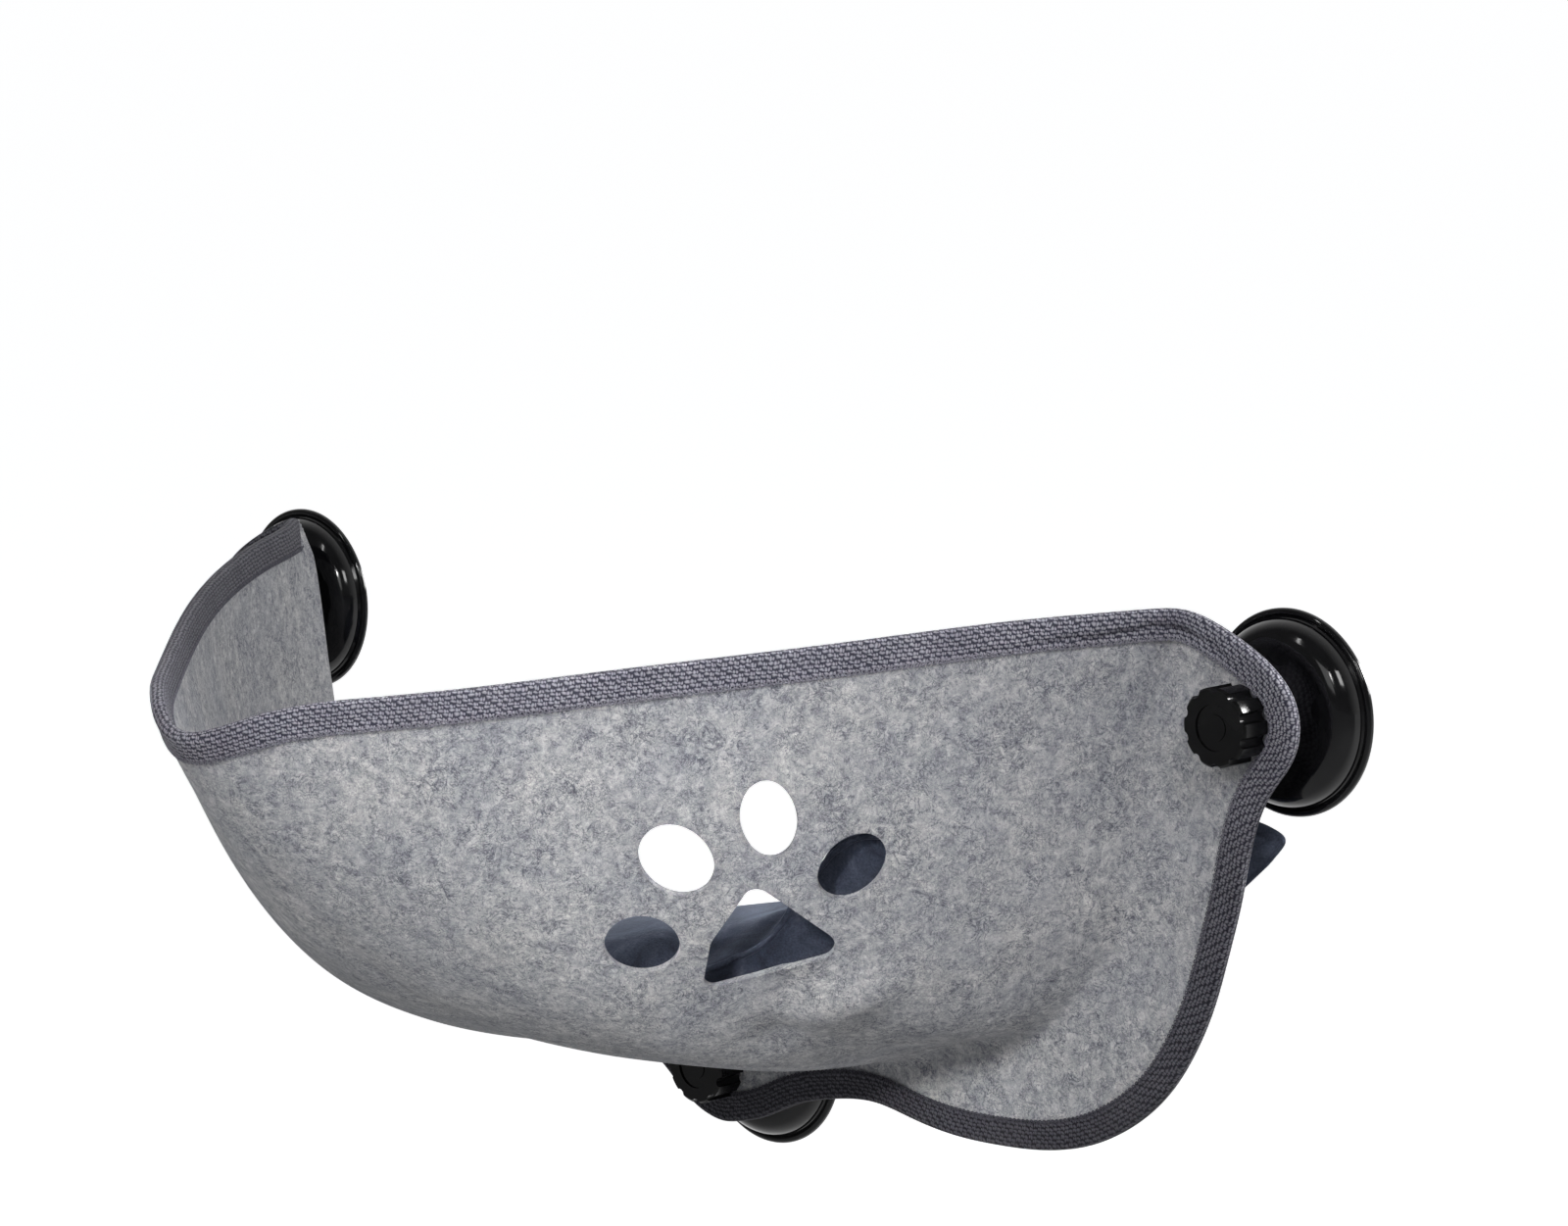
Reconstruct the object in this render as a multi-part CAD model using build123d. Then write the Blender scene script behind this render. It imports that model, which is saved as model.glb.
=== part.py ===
from build123d import *
import math
import os

# Window perch for a cat: a felt sling with a taped edge, held by three suction cups
# X runs along the glass, Y goes into the glass, Z is up, and the glass is the plane Y = 0
# The origin is on the glass, midway between the two upper cups

# Places of the three cups
cup_spacing = 604.0
cup_drop = 178.0

# Suction cup
cup_diameter = 85.0
lip_thickness = 1.6
lip_width = 3.0
lip_rise = 2.8
roll_height = 12.0
roll_top_radius = 28.0
funnel_radius = 16.5
funnel_height = 18.5
hub_radius = 12.0
hollow_depth = 3.0
hollow_radius = 33.0
dimple_count = 5
dimple_diameter = 14.5
dimple_depth = 0.5
dimple_circle_radius = 28.5
dimple_start_angle = 9.0

# Stack of the fastening, from the glass outwards
standoff = 28.0
felt_thickness = 4.0
eyelet_flange = 0.6
washer_thickness = 1.5

# Stud, eyelet and washer
stud_diameter = 7.4
stud_head_diameter = 17.0
stud_head_thickness = 3.0
stud_head_cover = 9.0
stud_length = 33.0
eyelet_bore = 9.0
eyelet_wall = 0.5
eyelet_diameter = 21.0
washer_diameter = 27.0
washer_bore = 8.6

# Knob with its nut
knob_diameter = 32.6
knob_height = 14.0
knob_lobes = 10
knob_groove_radius = 2.5
knob_groove_centre = 16.8
knob_edge = 0.9
knob_dish_diameter = 19.0
knob_dish_depth = 0.7
knob_button_diameter = 11.0
nut_width = 13.0
nut_height = 8.0
nut_bore = 8.0
knob_bore_depth = 12.0

# Felt sling: rim, pouch and wing
half_width = 270.0
rim_reach = 296.0
rim_rise = 43.0
pouch_drop = 160.0

# Rim, from the middle to the end: share of half width, of reach and of rise
rim_shares = [
    (0.0, 1.0, 0.14),
    (0.12, 0.955, 0.33),
    (0.26, 0.84, 0.50),
    (0.50, 0.61, 0.68),
    (0.715, 0.385, 0.84),
    (0.875, 0.17, 0.95),
    (0.95, 0.068, 0.985),
    (1.0, 0.012, 1.0),
]

# Bend between pouch and wing: share of half width and of the drop, down being negative
bend_shares = [
    (0.0, -0.98),
    (0.19, -1.02),
    (0.37, -1.0),
    (0.555, -0.925),
    (0.72, -0.84),
    (0.84, -0.675),
    (0.90, -0.50),
    (0.937, -0.19),
    (0.97, 0.08),
    (0.985, 0.15),
    (1.0, 0.19),
]

# Turn of the pouch wall: share of half width, share of depth, share of height, slope in degrees
turn_shares = [
    (0.0, 0.35, 0.69, 36.0),
    (0.19, 0.27, 0.67, 42.0),
    (0.41, 0.23, 0.63, 52.0),
    (0.63, 0.21, 0.62, 61.0),
    (0.81, 0.21, 0.62, 66.0),
    (0.94, 0.25, 0.60, 64.0),
    (1.0, 0.30, 0.60, 74.0),
]
section_count = 20

# Outline of the wing
wing_corner_radius = 26.6
corner_start_angle = 80.0
corner_end_angle = -55.0
wing_top_share = 1.0
side_share = (0.981, -0.404)
right_lobe_shares = [
    (0.930, -0.657),
    (0.830, -0.920),
    (0.660, -1.048),
    (0.530, -1.073),
    (0.391, -1.045),
    (0.305, -1.020),
    (0.219, -1.042),
    (0.113, -1.090),
]
left_lobe_shares = [
    (0.930, -0.657),
    (0.830, -0.890),
    (0.660, -1.010),
    (0.530, -1.025),
    (0.391, -1.003),
    (0.290, -0.984),
    (0.160, -0.994),
    (0.093, -1.070),
]
tab_share = -1.148

# Edge tape
tape_thickness = 0.9
tape_width = 11.0
tape_gap = 0.1

# Paw cut-outs, measured on the wall: across, up, long radius, short radius, turn
paw_place_share = 0.5826
paw_depth = 133.7
paw_height = -62.3
paw_tilt = 16.8
toes = {
    "outer_left": (-46.2, -23.8, 15.2, 12.6, -10.0),
    "inner_left": (-31.0, 14.0, 17.0, 13.6, -55.0),
    "inner_right": (6.4, 30.7, 16.8, 11.3, 96.0),
    "outer_right": (39.2, 8.9, 15.8, 11.5, 48.0),
}
pad_apex = (3.0, 4.0)
pad_right = (38.5, -29.0)
pad_left = (-28.0, -47.0)
pad_fillet = 8.0
paw_reach = 45.0

# Cushion: clearances, cover and filling
cushion_clearance = 1.6
cover_thickness = 1.6

# Cushion sections: share of half width; front edge height, back edge height and crown height
# as shares of the pouch drop; back edge place as a share of the standoff; bulge of the back edge
cushion_shares = [
    (-0.745, -0.68, -0.72, -0.655, 0.80),
    (-0.70, -0.665, -0.74, -0.64, 0.50),
    (-0.62, -0.67, -0.75, -0.64, 0.35),
    (-0.50, -0.68, -0.76, -0.65, 0.30),
    (-0.37, -0.69, -0.77, -0.66, 0.27),
    (-0.25, -0.70, -0.78, -0.67, 0.27),
    (-0.12, -0.70, -0.78, -0.665, 0.27),
    (0.0, -0.70, -0.78, -0.655, 0.27),
    (0.12, -0.69, -0.76, -0.635, 0.27),
    (0.25, -0.68, -0.73, -0.60, 0.27),
    (0.37, -0.67, -0.68, -0.57, 0.27),
    (0.48, -0.65, -0.62, -0.525, 0.27),
    (0.54, -0.57, -0.57, -0.475, 0.27),
    (0.60, -0.475, -0.51, -0.41, 0.27),
    (0.65, -0.355, -0.46, -0.335, 0.27),
    (0.70, -0.255, -0.42, -0.27, 0.27),
    (0.75, -0.225, -0.38, -0.235, 0.27),
    (0.80, -0.22, -0.35, -0.225, 0.27),
    (0.85, -0.225, -0.32, -0.23, 0.27),
]

# Corner of the cushion behind the wing: share of half width, low and high edge as shares of the
# pouch drop, then front face, back face and top edge as shares of the standoff
corner_shares = [
    (0.885, -0.53, -0.265, 1.10, 0.26, 1.60),
    (0.905, -0.525, -0.265, 0.95, 0.26, 1.25),
    (0.925, -0.53, -0.265, 0.92, 0.26, 0.85),
    (0.96, -0.55, -0.265, 0.92, 0.26, 0.70),
    (1.03, -0.50, -0.265, 0.90, 0.30, 0.68),
    (1.09, -0.42, -0.275, 0.84, 0.38, 0.66),
    (1.14, -0.335, -0.295, 0.68, 0.48, 0.60),
]

corner_bulge_shares = (0.03, 0.12)

# Overrun of every cut
overrun = 60.0
mid_plane = -(standoff + felt_thickness / 2)


# Piecewise cubic through a table of shares, mirrored about the middle
def read_share(table, share, column):
    xs = [line[0] for line in table]
    ys = [line[column] for line in table]
    slopes = []
    for i in range(len(xs)):
        if i == 0:
            slopes.append(0.0)
        elif i == len(xs) - 1:
            slopes.append((ys[i] - ys[i - 1]) / (xs[i] - xs[i - 1]))
        else:
            slopes.append((ys[i + 1] - ys[i - 1]) / (xs[i + 1] - xs[i - 1]))
    share = min(max(abs(share), xs[0]), xs[-1])
    k = max(i for i in range(len(xs) - 1) if xs[i] <= share)
    h = xs[k + 1] - xs[k]
    t = (share - xs[k]) / h
    start = (1 + 2 * t) * (1 - t) ** 2 * ys[k] + t * (1 - t) ** 2 * h * slopes[k]
    end = t * t * (3 - 2 * t) * ys[k + 1] + t * t * (t - 1) * h * slopes[k + 1]
    return start + end


# Point of the rim at a share of the half width
def rim_at(share):
    y = mid_plane - rim_reach * read_share(rim_shares, share, 1)
    return share * half_width, y, rim_rise * read_share(rim_shares, share, 2)


# Height of the bend on the wing at a share of the half width
def bend_at(share):
    return pouch_drop * read_share(bend_shares, share, 1)


# Extra thickness that a cut across a slanting wall shows
def slant_at(share):
    step = 0.01
    ahead = rim_at(min(abs(share) + step, 1.0))
    behind = rim_at(max(abs(share) - step, 0.0))
    slope = (ahead[1] - behind[1]) / (ahead[0] - behind[0])
    if share == 0:
        slope = 0.0
    return math.sqrt(1 + slope ** 2)


# Rim, turn and bend of one section of the felt's mid surface, in the plane Y Z
def section_points(share):
    _, rim_y, rim_z = rim_at(share)
    bend_z = bend_at(share)
    turn_y = rim_y + (mid_plane - rim_y) * read_share(turn_shares, share, 1)
    turn_z = rim_z + (bend_z - rim_z) * read_share(turn_shares, share, 2)
    angle = math.radians(read_share(turn_shares, share, 3))
    along = (math.cos(angle), -math.sin(angle))
    return (rim_y, rim_z), (turn_y, turn_z), (mid_plane, bend_z), along


# Centre and radius of the arc that leaves the turn along its slope and ends at a point
def arc_through(turn, along, end):
    normal = (-along[1], along[0])
    reach = (end[0] - turn[0], end[1] - turn[1])
    radius = (reach[0] ** 2 + reach[1] ** 2) / (2 * (reach[0] * normal[0] + reach[1] * normal[1]))
    return (turn[0] + normal[0] * radius, turn[1] + normal[1] * radius), radius


# Point at a share of the way round an arc from one point to another
def on_arc(centre, radius, start, end, share):
    first = math.atan2(start[1] - centre[1], start[0] - centre[0])
    last = math.atan2(end[1] - centre[1], end[0] - centre[0])
    turn = (last - first + math.pi) % (2 * math.pi) - math.pi
    angle = first + turn * share
    return centre[0] + radius * math.cos(angle), centre[1] + radius * math.sin(angle)


# The section moved off the mid surface: positive is towards the room
def offset_section(share, amount):
    rim, turn, bend, along = section_points(share)
    wall_centre, wall_radius = arc_through(turn, along, rim)
    floor_centre, floor_radius = arc_through(turn, along, bend)
    points = []
    for point, centre, radius, at in (
        (rim, wall_centre, wall_radius, 0.0),
        (rim, wall_centre, wall_radius, 0.5),
        (turn, wall_centre, wall_radius, 0.0),
        (turn, floor_centre, floor_radius, 0.5),
        (bend, floor_centre, floor_radius, 0.0),
    ):
        if at == 0.5:
            start, end = (rim, turn) if point is rim else (turn, bend)
            point = on_arc(centre, radius, start, end, at)
        away = (point[0] - centre[0], point[1] - centre[1])
        length = math.hypot(*away)
        points.append((point[0] + away[0] / length * amount, point[1] + away[1] / length * amount))
    return points


# Closed thin section of the pouch between two offsets, at its place along X
def felt_section(share):
    half = felt_thickness / 2 * slant_at(share)
    x = share * half_width
    outer = [(x, y, z) for y, z in offset_section(share, half)]
    inner = [(x, y, z) for y, z in offset_section(share, -half)]
    edges = [
        ThreePointArc(outer[0], outer[1], outer[2]),
        ThreePointArc(outer[2], outer[3], outer[4]),
        Line(outer[4], inner[4]),
        ThreePointArc(inner[4], inner[3], inner[2]),
        ThreePointArc(inner[2], inner[1], inner[0]),
        Line(inner[0], outer[0]),
    ]
    return Wire(edges)


# Shares from the left end to the right end
def mirrored(shares):
    return [-share for share in shares[:0:-1]] + list(shares)


# Evenly spaced shares of the felt's sections
def felt_shares():
    return mirrored([i / section_count for i in range(section_count + 1)])


# Solid through closed sections, smooth or with straight runs between them
def loft_piece(sections, straight=False):
    return Part() + Solid.make_loft(sections, ruled=straight)


# Outline of the wing as a face in the plane X Z
def wing_face():
    half = cup_spacing / 2
    radius = wing_corner_radius
    start = math.radians(corner_start_angle)
    middle = math.radians((corner_start_angle + corner_end_angle) / 2)
    end = math.radians(corner_end_angle)
    corner = [(half + radius * math.cos(a), radius * math.sin(a)) for a in (start, middle, end)]
    top = (wing_top_share * half_width, rim_rise)
    side = (side_share[0] * half, side_share[1] * cup_drop)
    edges = []
    tab = []
    for sign, shares in ((1, right_lobe_shares), (-1, left_lobe_shares)):
        lobes = [(a * half, b * cup_drop) for a, b in shares]
        at = [(sign * x, z) for x, z in [top] + corner + [side] + lobes]
        edges.append(Line(at[0], at[1]))
        edges.append(ThreePointArc(at[1], at[2], at[3]))
        edges.append(TangentArc(at[4], at[3], tangent=(0, 1)))
        edges.append(Line(at[4], at[5]))
        edges.append(ThreePointArc(at[5], at[6], at[7]))
        edges.append(ThreePointArc(at[7], at[8], at[9]))
        edges.append(ThreePointArc(at[9], at[10], at[11]))
        edges.append(Line(at[11], at[12]))
        tab.append(at[12])
    edges.append(ThreePointArc(tab[0], (0, tab_share * cup_drop), tab[1]))
    edges.append(Line(top, (-top[0], top[1])))
    return make_face(edges)


# Face above the bend, which is open between the two halves of the wing
def opening_face(shift):
    shares = mirrored([line[0] for line in bend_shares])
    points = [(share * half_width, bend_at(share) + shift) for share in shares]
    high = rim_rise + overrun
    edges = [
        Spline(*points),
        Line(points[-1], (points[-1][0], high)),
        Line((points[-1][0], high), (points[0][0], high)),
        Line((points[0][0], high), points[0]),
    ]
    return make_face(edges)


# Slab between two distances from the glass
def slab(face, near, far):
    placed = Plane.XZ * face
    return extrude(placed, amount=far - near).moved(Location((0, -near, 0)))


# Frame of the paw on the right wall: across, up and out of the wall
def paw_frame():
    centre = Vector(paw_place_share * half_width, mid_plane - paw_depth, paw_height)
    tilt = math.radians(paw_tilt)
    flat = math.cos(tilt) / math.sqrt(2)
    outward = Vector(flat, -flat, -math.sin(tilt))
    across = Vector(1, 1, 0)
    return Plane(origin=centre, x_dir=across, z_dir=outward)


# Cutters of the paw: four toes and the pad
def paw_cutters():
    frame = paw_frame()
    shapes = []
    for across, up, long_radius, short_radius, turn in toes.values():
        shapes.append(Pos(across, up) * Rot(0, 0, turn) * Ellipse(long_radius, short_radius))
    pad = make_face(Polyline(pad_apex, pad_right, pad_left, close=True))
    shapes.append(fillet(pad.vertices(), pad_fillet))
    return [extrude(frame * shape, amount=paw_reach, both=True) for shape in shapes]


# Sling: the pouch and the wing in one sheet, with the holes for studs and paw
def felt_sling(places):
    pouch = loft_piece([felt_section(share) for share in felt_shares()])
    plate = slab(wing_face(), standoff, standoff + felt_thickness)
    plate -= slab(opening_face(felt_thickness / 2), 0, standoff + overrun)
    sling = plate + pouch
    sling -= slab(Rectangle(2 * cup_spacing, 2 * cup_spacing), 0, standoff)
    for x, z in places:
        hole = Pos(x, 0, z) * Rot(90, 0, 0) * Cylinder(eyelet_bore / 2 + eyelet_wall, 2 * overrun)
        sling -= hole
    for cutter in paw_cutters():
        sling -= cutter
    return sling


# Point a distance round an arc from a start point, on the same side as another point
def round_arc(centre, radius, start, towards, distance):
    first = math.atan2(start[1] - centre[1], start[0] - centre[0])
    last = math.atan2(towards[1] - centre[1], towards[0] - centre[0])
    turn = (last - first + math.pi) % (2 * math.pi) - math.pi
    angle = first + math.copysign(1, turn) * distance / radius
    return centre[0] + radius * math.cos(angle), centre[1] + radius * math.sin(angle)


# Section of the tape folded over the rim, a thin U
def rim_tape_section(share):
    rim, turn, _, along = section_points(share)
    centre, radius = arc_through(turn, along, rim)
    slant = slant_at(share)
    near = (felt_thickness / 2 + tape_gap) * slant
    far = near + tape_thickness * slant
    top = -(tape_gap + tape_thickness)
    corners = [
        (far, top), (far, tape_width), (near, tape_width), (near, -tape_gap),
        (-near, -tape_gap), (-near, tape_width), (-far, tape_width), (-far, top),
    ]
    points = []
    for away, down in corners:
        y, z = round_arc(centre, radius, rim, turn, down)
        scale = (radius + away) / radius
        y = centre[0] + (y - centre[0]) * scale
        z = centre[1] + (z - centre[1]) * scale
        points.append((share * half_width, y, z))
    return Wire(Polyline(*points, close=True).edges())


# Tape over the rim of the pouch
def rim_tape():
    return loft_piece([rim_tape_section(share) for share in felt_shares()])


# Tape round the outer edge of the wing, folded over it
def wing_tape(extra):
    outline = wing_face()
    rise = tape_gap + tape_thickness + extra
    outer = offset(outline, rise)
    inner = offset(outline, -tape_width, kind=Kind.INTERSECTION)
    ring = slab(outer - inner, standoff - rise, standoff + felt_thickness + rise)
    core = slab(offset(outline, tape_gap), standoff - tape_gap, standoff + felt_thickness + tape_gap)
    return ring - core - slab(opening_face(0), 0, standoff + overrun)


# Height and depth of the felt's inner face in one section, with a clearance
def inner_arcs(share, clearance):
    rim, turn, bend, along = section_points(share)
    inset = felt_thickness / 2 * slant_at(share) + clearance
    wall_centre, wall_radius = arc_through(turn, along, rim)
    floor_centre, floor_radius = arc_through(turn, along, bend)
    normal = (-along[1], along[0])
    inner_turn = (turn[0] + normal[0] * inset, turn[1] + normal[1] * inset)
    return (wall_centre, wall_radius - inset), (floor_centre, floor_radius - inset), inner_turn


# Place on a circle's room side at a height
def side_of(circle, z):
    (cy, cz), radius = circle
    return cy - math.sqrt(radius ** 2 - (z - cz) ** 2), z


# Place on a circle's low side at a distance from the glass
def under(circle, y):
    (cy, cz), radius = circle
    return y, cz - math.sqrt(radius ** 2 - (y - cy) ** 2)


# Section of the cushion inside the pouch, shrunk by an inset for the filling
def cushion_section(line, inset):
    share, front, back, crown, gap = line
    clearance = (cushion_clearance + inset) * slant_at(share)
    wall, floor, turn = inner_arcs(share, clearance)
    front_z = front * pouch_drop - inset
    back_point = (-gap * standoff - inset, back * pouch_drop)
    on_wall = front_z > turn[1]
    first = side_of(wall if on_wall else floor, front_z)
    low_y = first[0] + (back_point[0] - first[0]) * 0.8
    low = under(floor, low_y)
    if on_wall:
        middle = turn
        first_mid = side_of(wall, (front_z + turn[1]) / 2)
    else:
        middle = under(floor, (first[0] + low_y) / 2)
        first_mid = under(floor, (first[0] + middle[0]) / 2)
    second_mid = under(floor, (middle[0] + low[0]) / 2)
    top = ((first[0] + back_point[0]) / 2, crown * pouch_drop - inset)
    rise_mid = ((low[0] + 2 * back_point[0]) / 3, (2 * low[1] + back_point[1]) / 3)
    x = share * half_width
    at = [(x, y, z) for y, z in (first, first_mid, middle, second_mid, low, rise_mid, back_point, top)]
    edges = [
        ThreePointArc(at[0], at[1], at[2]),
        ThreePointArc(at[2], at[3], at[4]),
        ThreePointArc(at[4], at[5], at[6]),
        ThreePointArc(at[6], at[7], at[0]),
    ]
    return Wire(edges)


# Arc between two points of a section that bulges outwards by a share of its length
def bulged(x, start, end, share):
    middle_y = (start[0] + end[0]) / 2 + (end[1] - start[1]) * share
    middle_z = (start[1] + end[1]) / 2 - (end[0] - start[0]) * share
    return ThreePointArc((x, *start), (x, middle_y, middle_z), (x, *end))


# Section of the cushion's corner, squeezed between the wing and the glass
def corner_section(line, inset):
    share, low, high, front, back, edge = line
    x = share * half_width
    low_z = low * pouch_drop + inset
    high_z = high * pouch_drop - inset
    front_y = -front * standoff + inset
    back_y = -back * standoff - inset
    first = (-edge * standoff + inset, high_z)
    front_middle = (front_y, (high_z + low_z) / 2)
    lowest = ((front_y + back_y) / 2, low_z)
    back_middle = (back_y, (high_z + low_z) / 2)
    edges = [
        bulged(x, first, front_middle, corner_bulge_shares[0]),
        bulged(x, front_middle, lowest, corner_bulge_shares[1]),
        bulged(x, lowest, back_middle, corner_bulge_shares[1]),
        bulged(x, back_middle, first, corner_bulge_shares[1]),
    ]
    return Wire(edges)


# Body of the cushion from its left end to the corner at the right
def cushion_body(inset):
    end_inset = inset / half_width
    pouch_lines = list(cushion_shares)
    corner_lines = list(corner_shares)
    pouch_lines[0] = (pouch_lines[0][0] + end_inset,) + pouch_lines[0][1:]
    corner_lines[-1] = (corner_lines[-1][0] - end_inset,) + corner_lines[-1][1:]
    sections = [cushion_section(line, inset) for line in pouch_lines]
    sections += [corner_section(line, inset) for line in corner_lines]
    return loft_piece(sections, straight=True)


# Profile of the cup, as radius and distance from the glass, spun about its axis
def suction_cup(x, z):
    rim = cup_diameter / 2
    top = standoff - eyelet_flange
    shoulder = rim - lip_width
    edges = [
        Line((0, hollow_depth), (0, top)),
        Line((0, top), (hub_radius, top)),
        Line((hub_radius, top), (hub_radius, funnel_height + (top - funnel_height) / 3)),
        ThreePointArc(
            (hub_radius, funnel_height + (top - funnel_height) / 3),
            ((hub_radius + funnel_radius) / 2 - lip_thickness / 2, funnel_height),
            (funnel_radius, (funnel_height + roll_height) / 2),
        ),
        ThreePointArc(
            (funnel_radius, (funnel_height + roll_height) / 2),
            ((funnel_radius + roll_top_radius) / 2, roll_height + lip_thickness / 4),
            (roll_top_radius, roll_height),
        ),
        ThreePointArc(
            (roll_top_radius, roll_height),
            ((roll_top_radius + 2 * shoulder) / 3, (2 * roll_height + lip_rise) / 3),
            (shoulder - lip_thickness / 2, lip_rise),
        ),
        Line((shoulder - lip_thickness / 2, lip_rise), (shoulder, lip_thickness)),
        ThreePointArc(
            (shoulder, lip_thickness),
            ((shoulder + rim) / 2, (lip_thickness + lip_rise) / 2),
            (rim, lip_thickness / 2),
        ),
        Line((rim, lip_thickness / 2), (rim, 0)),
        Line((rim, 0), (hollow_radius, 0)),
        ThreePointArc(
            (hollow_radius, 0),
            ((hollow_radius + hub_radius) / 2, hollow_depth * 3 / 4),
            (hub_radius, hollow_depth),
        ),
        Line((hub_radius, hollow_depth), (0, hollow_depth)),
    ]
    turned = revolve(Plane.XZ * make_face(edges), Axis.Z)
    for i in range(dimple_count):
        angle = dimple_start_angle + i * 360 / dimple_count
        dimple = Cylinder(dimple_diameter / 2, roll_height)
        sunk = roll_height + lip_thickness / 4 - dimple_depth + roll_height / 2
        turned -= Rot(0, 0, angle) * Pos(dimple_circle_radius, 0, sunk) * dimple
    return Pos(x, 0, z) * Rot(90, 0, 0) * turned


# Stud with the flat head that the rubber is moulded round
def stud(x, z):
    start = stud_head_cover
    head = Cylinder(stud_head_diameter / 2, stud_head_thickness, align=(Align.CENTER, Align.CENTER, Align.MIN))
    shank = Cylinder(stud_diameter / 2, stud_length, align=(Align.CENTER, Align.CENTER, Align.MIN))
    shank = chamfer(shank.edges().sort_by(Axis.Z)[-1], stud_diameter / 10)
    return Pos(x, 0, z) * Rot(90, 0, 0) * Pos(0, 0, start) * (head + shank)


# Eyelet: a short tube through the felt with a flange on each face
def eyelet(x, z):
    base = (Align.CENTER, Align.CENTER, Align.MIN)
    bore = eyelet_bore / 2
    tube_length = felt_thickness + 2 * eyelet_flange
    tube = Cylinder(bore + eyelet_wall, tube_length, align=base)
    flange = Cylinder(eyelet_diameter / 2, eyelet_flange, align=base)
    front = Pos(0, 0, felt_thickness + eyelet_flange) * flange
    body = tube + flange + front - Cylinder(bore, tube_length, align=base)
    return Pos(x, 0, z) * Rot(90, 0, 0) * Pos(0, 0, standoff - eyelet_flange) * body


# Distance from the glass to the seat of the washer
washer_seat = standoff + felt_thickness + eyelet_flange


# Loose washer under the knob
def washer(x, z):
    base = (Align.CENTER, Align.CENTER, Align.MIN)
    ring = Cylinder(washer_diameter / 2, washer_thickness, align=base)
    ring = chamfer(ring.edges().sort_by(Axis.Z)[-1], washer_thickness / 3)
    ring -= Cylinder(washer_bore / 2, washer_thickness, align=base)
    return Pos(x, 0, z) * Rot(90, 0, 0) * Pos(0, 0, washer_seat) * ring


# Hexagon of the nut, which is also its pocket in the back of the knob
def nut_hexagon():
    return extrude(RegularPolygon(nut_width / 2, 6, major_radius=False), amount=nut_height)


# Knob with ten lobes, a dished face and a raised button
def knob(x, z):
    base = (Align.CENTER, Align.CENTER, Align.MIN)
    body = Cylinder(knob_diameter / 2, knob_height, align=base)
    groove = Cylinder(knob_groove_radius, knob_height, align=base)
    for i in range(knob_lobes):
        body -= Rot(0, 0, (i + 0.5) * 360 / knob_lobes) * Pos(knob_groove_centre, 0, 0) * groove
    cone_low = knob_diameter / 2 + knob_edge
    cone = Cone(cone_low, knob_diameter / 2 - knob_edge, 2 * knob_edge, align=(Align.CENTER, Align.CENTER, Align.MAX))
    rest = Cylinder(cone_low, knob_height - 2 * knob_edge, align=base)
    body &= rest + Pos(0, 0, knob_height) * cone
    dish = Cylinder(knob_dish_diameter / 2, knob_dish_depth, align=base)
    button = Cylinder(knob_button_diameter / 2, knob_dish_depth / 2, align=base)
    body -= Pos(0, 0, knob_height - knob_dish_depth) * dish
    body += Pos(0, 0, knob_height - knob_dish_depth) * button
    body -= nut_hexagon()
    body -= Cylinder(nut_bore / 2, knob_bore_depth, align=base)
    return Pos(x, 0, z) * Rot(90, 0, 0) * Pos(0, 0, washer_seat + washer_thickness) * body


# Threaded nut set in the knob
def knob_nut(x, z):
    base = (Align.CENTER, Align.CENTER, Align.MIN)
    nut = nut_hexagon() - Cylinder(nut_bore / 2, nut_height, align=base)
    return Pos(x, 0, z) * Rot(90, 0, 0) * Pos(0, 0, washer_seat + washer_thickness) * nut


# Write one named piece
def save(shape, name):
    export_step(shape, f"parts/{name}.step")


os.makedirs("parts", exist_ok=True)
cup_places = {
    "left": (-cup_spacing / 2, 0.0),
    "right": (cup_spacing / 2, 0.0),
    "bottom": (0.0, -cup_drop),
}
for side, (x, z) in cup_places.items():
    stud_piece = stud(x, z)
    save(suction_cup(x, z) - stud_piece, f"suction_cup_{side}")
    save(stud_piece, f"stud_{side}")
    save(eyelet(x, z), f"eyelet_{side}")
    save(washer(x, z), f"washer_{side}")
    save(knob(x, z), f"knob_{side}")
    save(knob_nut(x, z), f"knob_nut_{side}")
sling_piece = felt_sling(cup_places.values())
save(sling_piece, "felt_sling")
rim_piece = rim_tape() - sling_piece
save(rim_piece, "rim_tape")
wing_piece = wing_tape(0) - sling_piece - rim_piece
save(wing_piece, "wing_tape")
cushion_piece = cushion_body(0)
filling_piece = cushion_body(cover_thickness)
save(cushion_piece - filling_piece, "cushion_cover")
save(filling_piece, "cushion_filling")
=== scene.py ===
# %% [markdown]
# A perch that hangs on a window: one sheet of grey felt, bent into a pouch and bound with woven
# tape, with a loose cushion in it, held by three suction cups with screw knobs.
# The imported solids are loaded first. They are the frame: every piece made below sits where they say.

# %% Load the frame
import bpy
import bmesh
import math
import numpy as np
from mathutils import Matrix, Vector
from mathutils.bvhtree import BVHTree


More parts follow.
